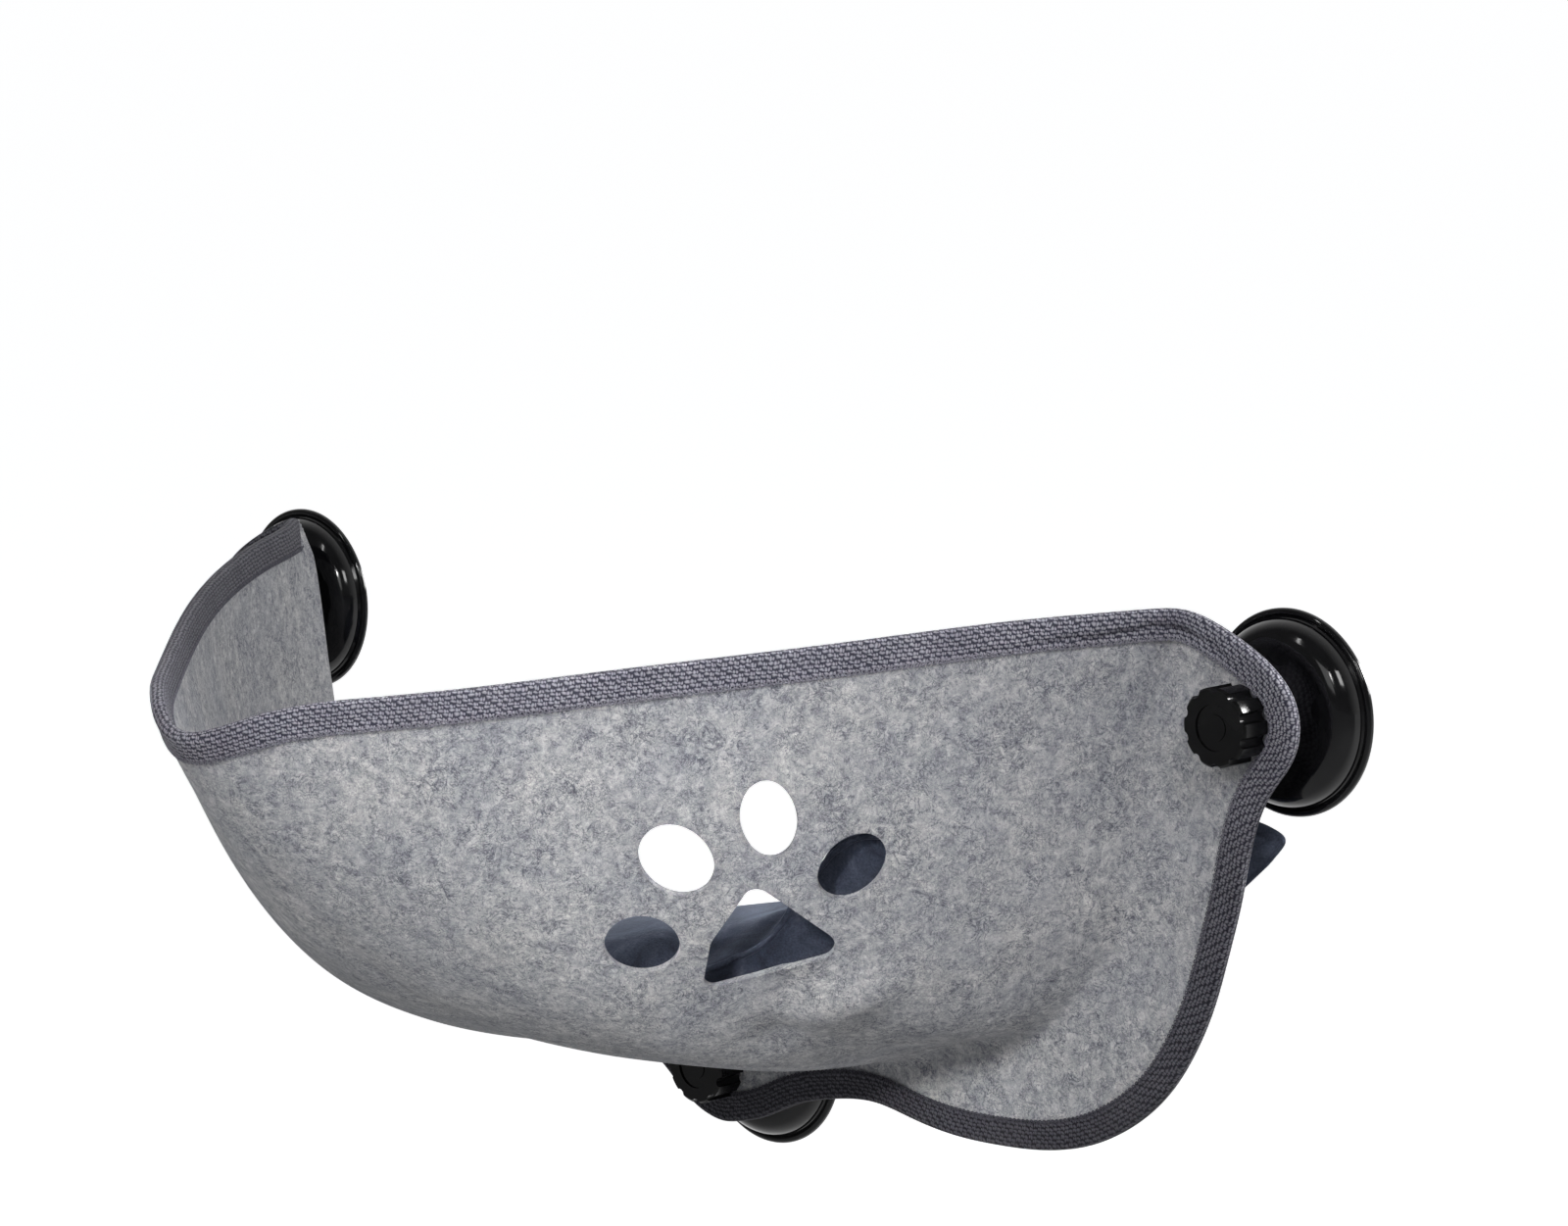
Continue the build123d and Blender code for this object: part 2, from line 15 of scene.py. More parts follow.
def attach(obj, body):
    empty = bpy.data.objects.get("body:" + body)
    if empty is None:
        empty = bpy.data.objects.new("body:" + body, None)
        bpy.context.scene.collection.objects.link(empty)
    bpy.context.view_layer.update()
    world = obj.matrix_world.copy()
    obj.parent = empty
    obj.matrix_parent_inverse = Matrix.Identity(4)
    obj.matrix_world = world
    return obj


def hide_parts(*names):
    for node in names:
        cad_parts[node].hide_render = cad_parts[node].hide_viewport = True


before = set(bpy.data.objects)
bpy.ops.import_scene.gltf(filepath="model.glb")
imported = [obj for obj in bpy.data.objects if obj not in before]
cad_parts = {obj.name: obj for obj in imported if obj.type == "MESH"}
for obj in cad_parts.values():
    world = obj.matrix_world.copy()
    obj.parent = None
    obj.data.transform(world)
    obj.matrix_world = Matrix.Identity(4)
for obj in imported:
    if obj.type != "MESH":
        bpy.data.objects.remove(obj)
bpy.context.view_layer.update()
scene = bpy.context.scene
scene.view_settings.view_transform = "Standard"

# %% [markdown]
# The camera stands in the room, to the left of the perch and a little above it, and looks along the
# window at about 45 degrees. A long lens keeps the lines nearly parallel.

# %% Camera
# The angles are in radians and the place is in metres, both fitted to the photograph.
turn, tip, tilt = 0.782832, -0.140846, -0.029462
camera_place = Vector((1.80656, -1.80009, 0.37780))
forward = Vector((-math.sin(turn) * math.cos(tip), math.cos(turn) * math.cos(tip), math.sin(tip)))
level = Vector((math.cos(turn), math.sin(turn), 0.0))
over = level.cross(forward)
right = math.cos(tilt) * level + math.sin(tilt) * over
up = math.cos(tilt) * over - math.sin(tilt) * level
camera_data = bpy.data.cameras.new("camera")
camera_data.sensor_fit = "HORIZONTAL"
camera_data.sensor_width = 36.0
camera_data.lens = 135.0
camera_data.clip_end = 200.0
camera = bpy.data.objects.new("camera", camera_data)
scene.collection.objects.link(camera)
axes = Matrix((right, up, -forward)).transposed().to_4x4()
camera.matrix_world = Matrix.Translation(camera_place) @ axes
scene.camera = camera
print("camera lens", camera_data.lens)

# %% [markdown]
# A shader does its arithmetic with Math nodes, one for each operation. This helper adds one and links
# or sets its inputs, so that a formula below reads in one line.


# %% Arithmetic helper
def maths(nodes, links, operation, first, second=0.0, third=None):
    node = nodes.new("ShaderNodeMath")
    node.operation = operation
    for i, value in enumerate((first, second, third)):
        if isinstance(value, bpy.types.NodeSocket):
            links.new(value, node.inputs[i])
        elif value is not None:
            node.inputs[i].default_value = value
    return node.outputs[0]


print("arithmetic helper ready")

# %% [markdown]
# The perch floats over a plain pale floor. The world is white where it is seen, also in a reflection or
# through something clear, and a soft grey where it lights the object, so the background doesn't wash
# the colours out. On the room's side of the window a reflection finds a dimmer room, which keeps the
# rubber and the knobs as black as they are.

# %% World
world = bpy.data.worlds.new("studio")
scene.world = world
world.use_nodes = True
world_nodes, world_links = world.node_tree.nodes, world.node_tree.links
world_nodes.clear()
ambient, room = 0.20, 0.14


# The brightness that a ray sees: full for the camera; in a reflection full behind the glass and
# dimmed to the room's share in front of it, with a soft change over twice "blur" in between.
def shown(nodes, links, place, blur, full):
    path = nodes.new("ShaderNodeLightPath")
    glossy, clear = path.outputs["Is Glossy Ray"], path.outputs["Is Transmission Ray"]
    mirrored = maths(nodes, links, "MAXIMUM", glossy, clear)
    apart = nodes.new("ShaderNodeSeparateXYZ")
    links.new(place, apart.inputs["Vector"])
    behind = nodes.new("ShaderNodeMapRange")
    behind.inputs["From Min"].default_value = -blur
    behind.inputs["From Max"].default_value = blur
    behind.inputs["To Min"].default_value = room * full
    behind.inputs["To Max"].default_value = full
    links.new(apart.outputs["Y"], behind.inputs["Value"])
    dimmed = maths(nodes, links, "MULTIPLY", mirrored, behind.outputs["Result"])
    straight = maths(nodes, links, "MULTIPLY", path.outputs["Is Camera Ray"], full)
    return path, mirrored, maths(nodes, links, "MAXIMUM", straight, dimmed)


direction = world_nodes.new("ShaderNodeTexCoord").outputs["Generated"]
path, mirrored, strength = shown(world_nodes, world_links, direction, 0.3, 1.0)
either = maths(world_nodes, world_links, "MAXIMUM", path.outputs["Is Camera Ray"], mirrored)
seen = world_nodes.new("ShaderNodeBackground")
seen.inputs["Color"].default_value = (1.0, 1.0, 1.0, 1.0)
world_links.new(strength, seen.inputs["Strength"])
soft = world_nodes.new("ShaderNodeBackground")
soft.inputs["Color"].default_value = (0.95, 0.97, 1.0, 1.0)
soft.inputs["Strength"].default_value = ambient
mix = world_nodes.new("ShaderNodeMixShader")
world_out = world_nodes.new("ShaderNodeOutputWorld")
world_links.new(either, mix.inputs["Fac"])
world_links.new(soft.outputs[0], mix.inputs[1])
world_links.new(seen.outputs[0], mix.inputs[2])
world_links.new(mix.outputs[0], world_out.inputs["Surface"])
print("world ready, ambient", ambient)

# %% [markdown]
# Area lamps stand for softboxes. The key hangs on the camera's right, so each knob's shadow falls down
# and to the left. A weak one in front and a narrow one beside the camera fill the long wall, and a
# strip high on the left gives the knobs and the tape an edge. Two lamps behind the window draw the
# bright lines on the cups' lips and the knobs' flutes. A narrow spread keeps a lamp off the floor.


# %% Lamps
def lamp(name, place, target, size, power, spread=180.0):
    data = bpy.data.lights.new(name, "AREA")
    data.shape = "RECTANGLE"
    data.size, data.size_y = size
    data.energy = power
    data.spread = math.radians(spread)
    thing = bpy.data.objects.new(name, data)
    scene.collection.objects.link(thing)
    aim = (Vector(target) - Vector(place)).to_track_quat("-Z", "Y").to_matrix().to_4x4()
    thing.matrix_world = Matrix.Translation(Vector(place)) @ aim


lamp("key", (1.80, -0.92, 1.25), (0.0, -0.12, -0.05), (0.5, 0.6), 11.0)
lamp("front", (0.5, -1.3, 0.5), (0.0, -0.12, -0.05), (0.5, 0.5), 1.5)
lamp("fill", (0.95, -1.90, 0.95), (0.10, -0.22, -0.03), (0.35, 0.5), 0.48, 13.5)
lamp("strip", (-0.30, -1.45, 1.60), (0.2, -0.05, -0.02), (0.10, 0.7), 3.0)
lamp("window", (1.40, 1.55, 0.75), (0.0, -0.05, -0.03), (0.3, 0.8), 15.0)
lamp("glint", (0.90, 0.86, 0.54), (0.310, -0.04, 0.0), (0.16, 0.6), 0.36, 20.0)
print("lamps", len(bpy.data.lights))

# %% [markdown]
# The floor is one big square below the perch. A plain diffuse floor would turn grey towards the
# horizon, so it also glows where a ray sees it, while the diffuse part still takes the soft shadow.

# %% Floor
floor_reach, floor_z, floor_glow = 60.0, -0.62, 0.86


def plain_floor():
    mesh = bpy.data.meshes.new("floor")
    corners = [(x * floor_reach, y * floor_reach, floor_z) for x, y in ((-1, -1), (1, -1), (1, 1), (-1, 1))]
    mesh.from_pydata(corners, [], [(0, 1, 2, 3)])
    thing = bpy.data.objects.new("floor", mesh)
    scene.collection.objects.link(thing)
    paint = bpy.data.materials.new("pale_floor")
    paint.use_nodes = True
    nodes, links = paint.node_tree.nodes, paint.node_tree.links
    nodes.clear()
    end = nodes.new("ShaderNodeOutputMaterial")
    body = nodes.new("ShaderNodeBsdfDiffuse")
    body.inputs["Color"].default_value = (0.70, 0.70, 0.70, 1.0)
    glow = nodes.new("ShaderNodeEmission")
    glow.inputs["Color"].default_value = (1.0, 1.0, 1.0, 1.0)
    place = nodes.new("ShaderNodeTexCoord").outputs["Object"]
    _, _, strength = shown(nodes, links, place, 0.2, floor_glow)
    links.new(strength, glow.inputs["Strength"])
    add = nodes.new("ShaderNodeAddShader")
    links.new(body.outputs[0], add.inputs[0])
    links.new(glow.outputs[0], add.inputs[1])
    links.new(add.outputs[0], end.inputs["Surface"])
    mesh.materials.append(paint)


plain_floor()
print("floor at", floor_z)

# %% [markdown]
# Materials come next. Each one starts as a Principled shader; a small helper makes it and returns its
# nodes, so that a finish can add its own pattern.


# %% Material helper
# An extra input of the shader is named with an underscore for each space.
def finish(name, colour, rough, **extra):
    paint = bpy.data.materials.new(name)
    paint.use_nodes = True
    shader = paint.node_tree.nodes["Principled BSDF"]
    shader.inputs["Base Color"].default_value = (*colour, 1.0)
    shader.inputs["Roughness"].default_value = rough
    for key, value in extra.items():
        shader.inputs[key.replace("_", " ")].default_value = value
    return paint, paint.node_tree.nodes, paint.node_tree.links, shader


print("material helper ready")


# %% Pattern helpers
def place_of(nodes):
    return nodes.new("ShaderNodeTexCoord").outputs["Object"]


def noise(nodes, links, place, scale, detail=3.0, rough=0.55, twist=0.0):
    node = nodes.new("ShaderNodeTexNoise")
    node.inputs["Scale"].default_value = scale
    node.inputs["Detail"].default_value = detail
    node.inputs["Roughness"].default_value = rough
    node.inputs["Distortion"].default_value = twist
    links.new(place, node.inputs["Vector"])
    return node.outputs["Fac"]


def steps(nodes, links, value, *stops):
    node = nodes.new("ShaderNodeValToRGB")
    ramp = node.color_ramp
    for i, (at, colour) in enumerate(stops):
        stop = ramp.elements[i] if i < 2 else ramp.elements.new(at)
        stop.position = at
        stop.color = (*colour, 1.0) if len(colour) == 3 else colour
    links.new(value, node.inputs["Fac"])
    return node.outputs["Color"]


# A Mix node keeps its two colours in sockets 6 and 7, its share in 0 and its result in 2.
def blend_colours(nodes, links, first, second, share, mode="MIX"):
    node = nodes.new("ShaderNodeMix")
    node.data_type = "RGBA"
    node.blend_type = mode
    for socket, value in ((node.inputs[6], first), (node.inputs[7], second), (node.inputs[0], share)):
        if isinstance(value, bpy.types.NodeSocket):
            links.new(value, socket)
        else:
            socket.default_value = value
    return node.outputs[2]


def relief(nodes, links, shader, height, strength, reach):
    node = nodes.new("ShaderNodeBump")
    node.inputs["Strength"].default_value = strength
    node.inputs["Distance"].default_value = reach
    links.new(height, node.inputs["Height"])
    links.new(node.outputs["Normal"], shader.inputs["Normal"])


print("pattern helpers ready")

# %% [markdown]
# Felt is a mat of short fibres. Grey felt is mostly pale wool with some dark fibres in it, which lie in
# wisps. So the ground is a pale clumpy noise, and the wisps are thin lines: a noise is about 0.5 along
# winding lines, and its distance from 0.5 makes a dark vein there. A second noise lets the veins come
# and go, a wide one clouds the whole, and a little sheen gives the soft edge.

# %% Felt finish
# Each wisp: scale of the veins, their width, scale of the patches, threshold of a patch, strength.
wisps = [(115.0, 0.030, 52.0, 0.49, 0.9), (215.0, 0.045, 85.0, 0.47, 0.9), (430.0, 0.055, 150.0, 0.47, 0.7)]
wisp_colour, patch_edge = (0.33, 0.34, 0.40), 0.09


def veins(nodes, links, place, scale, width, dark, patch_scale, patch):
    winding = noise(nodes, links, place, scale, 3.0, 0.6, 1.4)
    apart = maths(nodes, links, "ABSOLUTE", maths(nodes, links, "SUBTRACT", winding, 0.5))
    colour = steps(nodes, links, apart, (0.0, dark), (width, (1.0, 1.0, 1.0)))
    come = noise(nodes, links, place, patch_scale, 3.0, 0.6, 0.5)
    share = steps(nodes, links, come, (patch - patch_edge, (0.0, 0.0, 0.0)),
                  (patch + patch_edge, (1.0, 1.0, 1.0)))
    return blend_colours(nodes, links, (1.0, 1.0, 1.0, 1.0), colour, share)


def felt_finish():
    paint, nodes, links, shader = finish("heather_felt", (0.42, 0.42, 0.43), 0.96, Sheen_Weight=0.18,
                                         Sheen_Roughness=0.6, Specular_IOR_Level=0.15)
    place = place_of(nodes)
    cloud = noise(nodes, links, place, 30.0, 4.0, 0.6)
    clump = noise(nodes, links, place, 240.0, 4.0, 0.68, 0.7)
    grain = noise(nodes, links, place, 900.0, 3.0, 0.7, 1.2)
    base = steps(nodes, links, clump, (0.32, (0.345, 0.348, 0.372)), (0.50, (0.500, 0.500, 0.508)),
                 (0.68, (0.680, 0.677, 0.662)))
    shade = steps(nodes, links, cloud, (0.32, (0.84, 0.85, 0.885)), (0.66, (1.06, 1.055, 1.04)))
    base = blend_colours(nodes, links, base, shade, 1.0, "MULTIPLY")
    fleck = steps(nodes, links, grain, (0.34, (0.62, 0.63, 0.67)), (0.50, (1.0, 1.0, 1.0)),
                  (0.72, (1.20, 1.20, 1.18)))
    base = blend_colours(nodes, links, base, fleck, 0.9, "MULTIPLY")
    for scale, width, patch_scale, patch, share in wisps:
        wisp = veins(nodes, links, place, scale, width, wisp_colour, patch_scale, patch)
        base = blend_colours(nodes, links, base, wisp, share, "MULTIPLY")
    links.new(base, shader.inputs["Base Color"])
    height = maths(nodes, links, "ADD", grain, maths(nodes, links, "MULTIPLY", clump, 0.8))
    relief(nodes, links, shader, height, 0.40, 0.0008)
    return paint


felt_paint = felt_finish()
print("finish", felt_paint.name)

# %% [markdown]
# The tape is woven with a thick pale thread over a dark ground. Seen close, one repeat is 4.7 mm long
# and a row is 2 mm high, and it holds three marks: a slanting float, a round crown and a short dash.
# Each mark is an ellipse in the repeat, and the highest of the three is both the colour and the relief.
# The strip carries its own UV map in metres, along the edge and across the strip, so the weave follows
# The tape carries painted shade: it is paler along the rim than low on the wing and at the left.

# %% Marks of the weave
repeat_length, row_height, row_shift = 0.0047, 0.00195, 0.39


def squared_share(nodes, links, value, size):
    share = maths(nodes, links, "DIVIDE", maths(nodes, links, "ABSOLUTE", value), size)
    return maths(nodes, links, "POWER", share, 2.0)


def mark(nodes, links, u, v, at, size, slant):
    du = maths(nodes, links, "SUBTRACT", u, at[0])
    dv = maths(nodes, links, "SUBTRACT", v, at[1])
    dv = maths(nodes, links, "ADD", dv, maths(nodes, links, "MULTIPLY", du, slant))
    du = squared_share(nodes, links, du, size[0])
    dv = squared_share(nodes, links, dv, size[1])
    return maths(nodes, links, "SUBTRACT", 1.0, maths(nodes, links, "ADD", du, dv))


# Painted shade on the tape: paler along the rim, darker low on the wing and at the left.
def painted_tape_shade(nodes, links, place):
    spot = nodes.new("ShaderNodeSeparateXYZ")
    links.new(place, spot.inputs["Vector"])
    height = maths(nodes, links, "MULTIPLY_ADD", spot.outputs["Z"], 4.5, 0.82)
    side = maths(nodes, links, "MINIMUM", spot.outputs["X"], 0.05)
    height = maths(nodes, links, "MULTIPLY_ADD", side, 2.2, height)
    return steps(nodes, links, height, (0.10, (0.22, 0.22, 0.23)), (0.62, (0.43, 0.43, 0.44)),
                 (1.0, (1.0, 1.0, 1.0)))


print("marks ready")

# %% [markdown]
# The thread isn't laid like a ruler's lines. One slow noise sways the rows, a fine one jitters them, and
# every row starts a little further along than the one below it. Painted shade darkens the tape in the
# crease, the more the deeper its attribute says the fold is.


# %% Tape finish
def tape_finish():
    paint, nodes, links, shader = finish("woven_tape", (0.13, 0.125, 0.16), 0.82, Sheen_Weight=0.12,
                                         Specular_IOR_Level=0.25)
    place = place_of(nodes)
    layout = nodes.new("ShaderNodeUVMap")
    layout.uv_map = "strip"
    apart = nodes.new("ShaderNodeSeparateXYZ")
    links.new(layout.outputs["UV"], apart.inputs["Vector"])
    sway = maths(nodes, links, "SUBTRACT", noise(nodes, links, place, 160.0, 2.0, 0.5), 0.5)
    row = maths(nodes, links, "DIVIDE", apart.outputs["Y"], row_height)
    jitter = maths(nodes, links, "SUBTRACT", noise(nodes, links, place, 560.0, 2.0, 0.5), 0.5)
    row = maths(nodes, links, "ADD", row, maths(nodes, links, "MULTIPLY", sway, 0.9))
    row = maths(nodes, links, "ADD", row, maths(nodes, links, "MULTIPLY", jitter, 0.75))
    along = maths(nodes, links, "DIVIDE", apart.outputs["X"], repeat_length)
    shift = maths(nodes, links, "MULTIPLY", maths(nodes, links, "FLOOR", row), row_shift)
    along = maths(nodes, links, "ADD", along, shift)
    along = maths(nodes, links, "ADD", along, maths(nodes, links, "MULTIPLY", sway, 0.5))
    u = maths(nodes, links, "FRACT", along)
    v = maths(nodes, links, "FRACT", row)
    first = mark(nodes, links, u, v, (0.29, 0.60), (0.27, 0.37), 0.55)
    second = mark(nodes, links, u, v, (0.66, 0.48), (0.15, 0.52), 0.0)
    third = mark(nodes, links, u, v, (0.89, 0.40), (0.10, 0.44), -0.6)
    thread = maths(nodes, links, "MAXIMUM", first, maths(nodes, links, "MAXIMUM", second, third))
    thread = maths(nodes, links, "POWER", maths(nodes, links, "MAXIMUM", thread, 0.0), 0.6)
    fuzz = noise(nodes, links, place, 1300.0, 3.0, 0.7)
    drift = noise(nodes, links, place, 60.0, 3.0, 0.6)
    mixed = maths(nodes, links, "ADD", maths(nodes, links, "MULTIPLY", thread, 0.72),
                  maths(nodes, links, "MULTIPLY", fuzz, 0.42))
    colour = steps(nodes, links, mixed, (0.16, (0.036, 0.036, 0.056)), (0.52, (0.150, 0.146, 0.188)),
                   (0.95, (0.52, 0.51, 0.575)))
    shade = steps(nodes, links, drift, (0.3, (0.84, 0.84, 0.86)), (0.7, (1.10, 1.10, 1.08)))
    colour = blend_colours(nodes, links, colour, shade, 1.0, "MULTIPLY")
    # Painted shade: paler along the rim, darker low on the wing and at the left.
    colour = blend_colours(nodes, links, colour, painted_tape_shade(nodes, links, place), 1.0, "MULTIPLY")
    # Painted shade in the crease: the deeper the fold, the darker the tape.
    folded = nodes.new("ShaderNodeAttribute")
    folded.attribute_name = "crease"
    crease_painted_shade = steps(nodes, links, folded.outputs["Fac"], (0.0, (1.0, 1.0, 1.0)), (1.0, (0.16, 0.16, 0.19)))
    colour = blend_colours(nodes, links, colour, crease_painted_shade, 1.0, "MULTIPLY")
    links.new(colour, shader.inputs["Base Color"])
    relief(nodes, links, shader, mixed, 0.9, 0.0007)
    return paint


tape_paint = tape_finish()
print("finish", tape_paint.name)

# %% [markdown]
# The loops along both edges of the tape are of the same thread. Each is only two millimetres wide, so
# a fine noise is enough to stand for the thread's twist.


# %% Thread finish
def thread_finish():
    paint, nodes, links, shader = finish("edge_thread", (0.24, 0.235, 0.28), 0.8)
    place = place_of(nodes)
    twist = noise(nodes, links, place, 1500.0, 2.0, 0.6)
    colour = steps(nodes, links, twist, (0.35, (0.13, 0.128, 0.165)), (0.65, (0.38, 0.37, 0.43)))
    # The loops get the tape's painted shade too: paler along the rim, darker low on the wing and at the
    # left.
    colour = blend_colours(nodes, links, colour, painted_tape_shade(nodes, links, place), 1.0, "MULTIPLY")
    links.new(colour, shader.inputs["Base Color"])
    relief(nodes, links, shader, twist, 0.4, 0.0002)
    return paint


thread_paint = thread_finish()
print("finish", thread_paint.name)

# %% [markdown]
# The cushion's cloth has a short pile. Where the pile is brushed the other way it looks lighter, so a
# wide noise changes the shade and a strong sheen brightens what turns away from the light.


# %% Cushion finish
def cushion_finish():
    paint, nodes, links, shader = finish("pile_cloth", (0.028, 0.034, 0.050), 0.85, Sheen_Weight=0.55,
                                         Sheen_Roughness=0.35, Sheen_Tint=(0.55, 0.62, 0.78, 1.0),
                                         Specular_IOR_Level=0.2)
    place = place_of(nodes)
    brushed = noise(nodes, links, place, 38.0, 4.0, 0.65, 1.2)
    pile = noise(nodes, links, place, 1100.0, 2.0, 0.6)
    colour = steps(nodes, links, brushed, (0.32, (0.034, 0.041, 0.062)), (0.55, (0.072, 0.084, 0.120)),
                   (0.75, (0.140, 0.160, 0.215)))
    speck = steps(nodes, links, pile, (0.3, (0.72, 0.72, 0.74)), (0.7, (1.2, 1.2, 1.2)))
    links.new(blend_colours(nodes, links, colour, speck, 1.0, "MULTIPLY"), shader.inputs["Base Color"])
    height = maths(nodes, links, "ADD", pile, maths(nodes, links, "MULTIPLY", brushed, 1.5))
    relief(nodes, links, shader, height, 0.4, 0.0008)
    return paint


cushion_paint = cushion_finish()
print("finish", cushion_paint.name)

# %% [markdown]
# The cups are soft black rubber out of a polished mould: nearly a mirror, broken by faint flow marks
# and dust. The knobs are black plastic with a fine grain, which spreads the highlight.


# %% Rubber, plastic and metal finishes
def moulded_finish(name, colour, rough, wear, shine, grain_scale, grain_height):
    paint, nodes, links, shader = finish(name, colour, rough, Specular_IOR_Level=shine)
    place = place_of(nodes)
    smear = noise(nodes, links, place, 45.0, 4.0, 0.6, 0.8)
    low = (rough - wear,) * 3
    high = (rough + wear,) * 3
    links.new(steps(nodes, links, smear, (0.35, low), (0.70, high)), shader.inputs["Roughness"])
    dusty = tuple(min(1.0, c * 1.9 + 0.004) for c in colour)
    links.new(steps(nodes, links, smear, (0.40, colour), (0.80, dusty)), shader.inputs["Base Color"])
    grain = noise(nodes, links, place, grain_scale, 2.0, 0.5)
    relief(nodes, links, shader, grain, 0.2, grain_height)
    return paint


def metal_finish(name, colour, rough):
    paint, nodes, links, shader = finish(name, colour, rough, Metallic=1.0)
    place = place_of(nodes)
    marks = noise(nodes, links, place, 420.0, 4.0, 0.6)
    low, high = (rough * 0.7,) * 3, (min(1.0, rough * 1.4),) * 3
    links.new(steps(nodes, links, marks, (0.3, low), (0.7, high)), shader.inputs["Roughness"])
    dull = tuple(c * 0.75 for c in colour)
    links.new(steps(nodes, links, marks, (0.3, dull), (0.65, colour)), shader.inputs["Base Color"])
    relief(nodes, links, shader, marks, 0.15, 0.0002)
    return paint


rubber_paint = moulded_finish("cup_rubber", (0.0035, 0.0035, 0.0042), 0.11, 0.03, 0.38, 90.0, 0.00006)
knob_paint = moulded_finish("knob_plastic", (0.0018, 0.0018, 0.0020), 0.25, 0.05, 0.24, 1500.0, 0.0001)
steel_paint = metal_finish("plated_steel", (0.62, 0.62, 0.64), 0.30)
eyelet_paint = metal_finish("dark_nickel", (0.20, 0.20, 0.21), 0.38)
brass_paint = metal_finish("plain_brass", (0.76, 0.56, 0.26), 0.34)
filling_paint = finish("loose_filling", (0.82, 0.82, 0.80), 1.0)[0]
print("finishes", len(bpy.data.materials))

# %% [markdown]
# The felt is one sheet. Its shape is ruled by four lines: the rim in the air, the bend where the pouch
# turns into the flat wing, the wing's outline, and a fullness that says how far the pouch bellies out
# between rim and bend. All lengths below are in millimetres and become metres at the end.
# The lines are smooth curves through a few points, so two small spline helpers come first.


# %% Smooth curve through points
# A natural cubic spline, for lines that may swing between their points.
def smooth(xs, ys):
    xs, ys = np.asarray(xs, float), np.asarray(ys, float)
    ys = ys.reshape(len(xs), -1)
    h = np.diff(xs)
    n = len(xs)
    rows = np.zeros((n, n))
    right_side = np.zeros((n, ys.shape[1]))
    rows[0, 0] = rows[-1, -1] = 1.0
    for i in range(1, n - 1):
        rows[i, i - 1:i + 2] = h[i - 1], 2 * (h[i - 1] + h[i]), h[i]
        right_side[i] = 6 * ((ys[i + 1] - ys[i]) / h[i] - (ys[i] - ys[i - 1]) / h[i - 1])
    second = np.linalg.solve(rows, right_side)

    def at(x):
        x = np.clip(np.atleast_1d(np.asarray(x, float)), xs[0], xs[-1])
        k = np.clip(np.searchsorted(xs, x, "right") - 1, 0, n - 2)
        a = ((xs[k + 1] - x) / h[k])[:, None]
        b = ((x - xs[k]) / h[k])[:, None]
        bow = (a ** 3 - a) * second[k] + (b ** 3 - b) * second[k + 1]
        return a * ys[k] + b * ys[k + 1] + bow * (h[k] ** 2)[:, None] / 6

    return at


print("a quarter along a bow", smooth([0, 1, 2], [0, 1, 0])(0.5)[0].round(3))


# %% Steady curve through points
# A spline that doesn't overshoot, so a line that rises at its points rises between them too.
def steady(xs, ys):
    xs, ys = np.asarray(xs, float), np.asarray(ys, float)
    h, slope = np.diff(xs), np.diff(ys) / np.diff(xs)
    lean = np.zeros(len(xs))
    for i in range(1, len(xs) - 1):
        if slope[i - 1] * slope[i] > 0:
            first, second = 2 * h[i] + h[i - 1], h[i] + 2 * h[i - 1]
            lean[i] = (first + second) / (first / slope[i - 1] + second / slope[i])
    lean[0], lean[-1] = slope[0], slope[-1]

    def at(x):
        x = np.clip(np.atleast_1d(np.asarray(x, float)), xs[0], xs[-1])
        k = np.clip(np.searchsorted(xs, x, "right") - 1, 0, len(xs) - 2)
        t = (x - xs[k]) / h[k]
        start = (1 + 2 * t) * (1 - t) ** 2 * ys[k] + t * (1 - t) ** 2 * h[k] * lean[k]
        end = t * t * (3 - 2 * t) * ys[k + 1] + t * t * (t - 1) * h[k] * lean[k + 1]
        return start + end

    return at


print("halfway up a slope", steady([0, 1, 2], [0, 1, 4])(1.5).round(3))


# %% Lengths along a line
def run_lengths(points):
    return np.r_[0.0, np.cumsum(np.linalg.norm(np.diff(points, axis=0), axis=1))]


def taken_at(points, run, at):
    return np.stack([np.interp(at, run, points[:, k]) for k in range(points.shape[1])], 1)


def evenly(points, count):
    run = run_lengths(points)
    return taken_at(points, run, np.linspace(0, run[-1], count))


# One pass of smoothing round a closed line.
def eased(points):
    return (np.roll(points, 1, 0) + 2 * points + np.roll(points, -1, 0)) / 4


print("lengths round a corner", run_lengths(np.array([(0, 0), (3, 0), (3, 4)])))

# %% Lines of the felt
felt_y = -30.0
felt_thick = 4.0
rim_points = np.array([
    (0, -326, 6), (33, -312, 15), (70, -279, 21), (136, -211, 29),
    (193, -144, 36), (236, -80, 41), (256, -50, 42), (270, -35, 43),
], float)
bend_points = np.array([
    (0, -157.4), (50, -160.9), (100, -161.3), (150, -146.9), (195, -135.2),
    (226, -108), (243, -80), (253, -30), (262, 20), (270, 43),
], float)
outline_points = np.array([
    (270, 43.2), (283, 39.5), (296, 34), (310, 26.6), (321, 18), (327.2, 9), (328.8, -1), (326.3, -11),
    (320, -20), (312.5, -29), (306.5, -40), (297.5, -72), (289.5, -97), (281.5, -119), (271, -139),
    (257, -157.5), (237, -173.5), (215, -184), (190, -189.5), (163, -191), (141, -190.5), (117, -187),
    (93, -182.5), (68, -184.5), (44, -190.5), (24, -199), (0, -204.2),
], float)
left_lobe = np.array([
    (281.5, -119), (270.5, -138), (256, -155), (237, -168.5), (215, -177.2), (190, -181.8), (163, -182.8),
    (141, -181.2), (117, -178.4), (93, -175.6), (68, -175.4), (50, -177), (38, -181.5), (26, -191.5),
    (12, -200.8), (0, -204.2),
], float)
left_points = np.r_[outline_points[:13], left_lobe]
full_rim = np.r_[rim_points[::-1] * (-1, 1, 1), rim_points[1:]]
rim_run = run_lengths(full_rim)
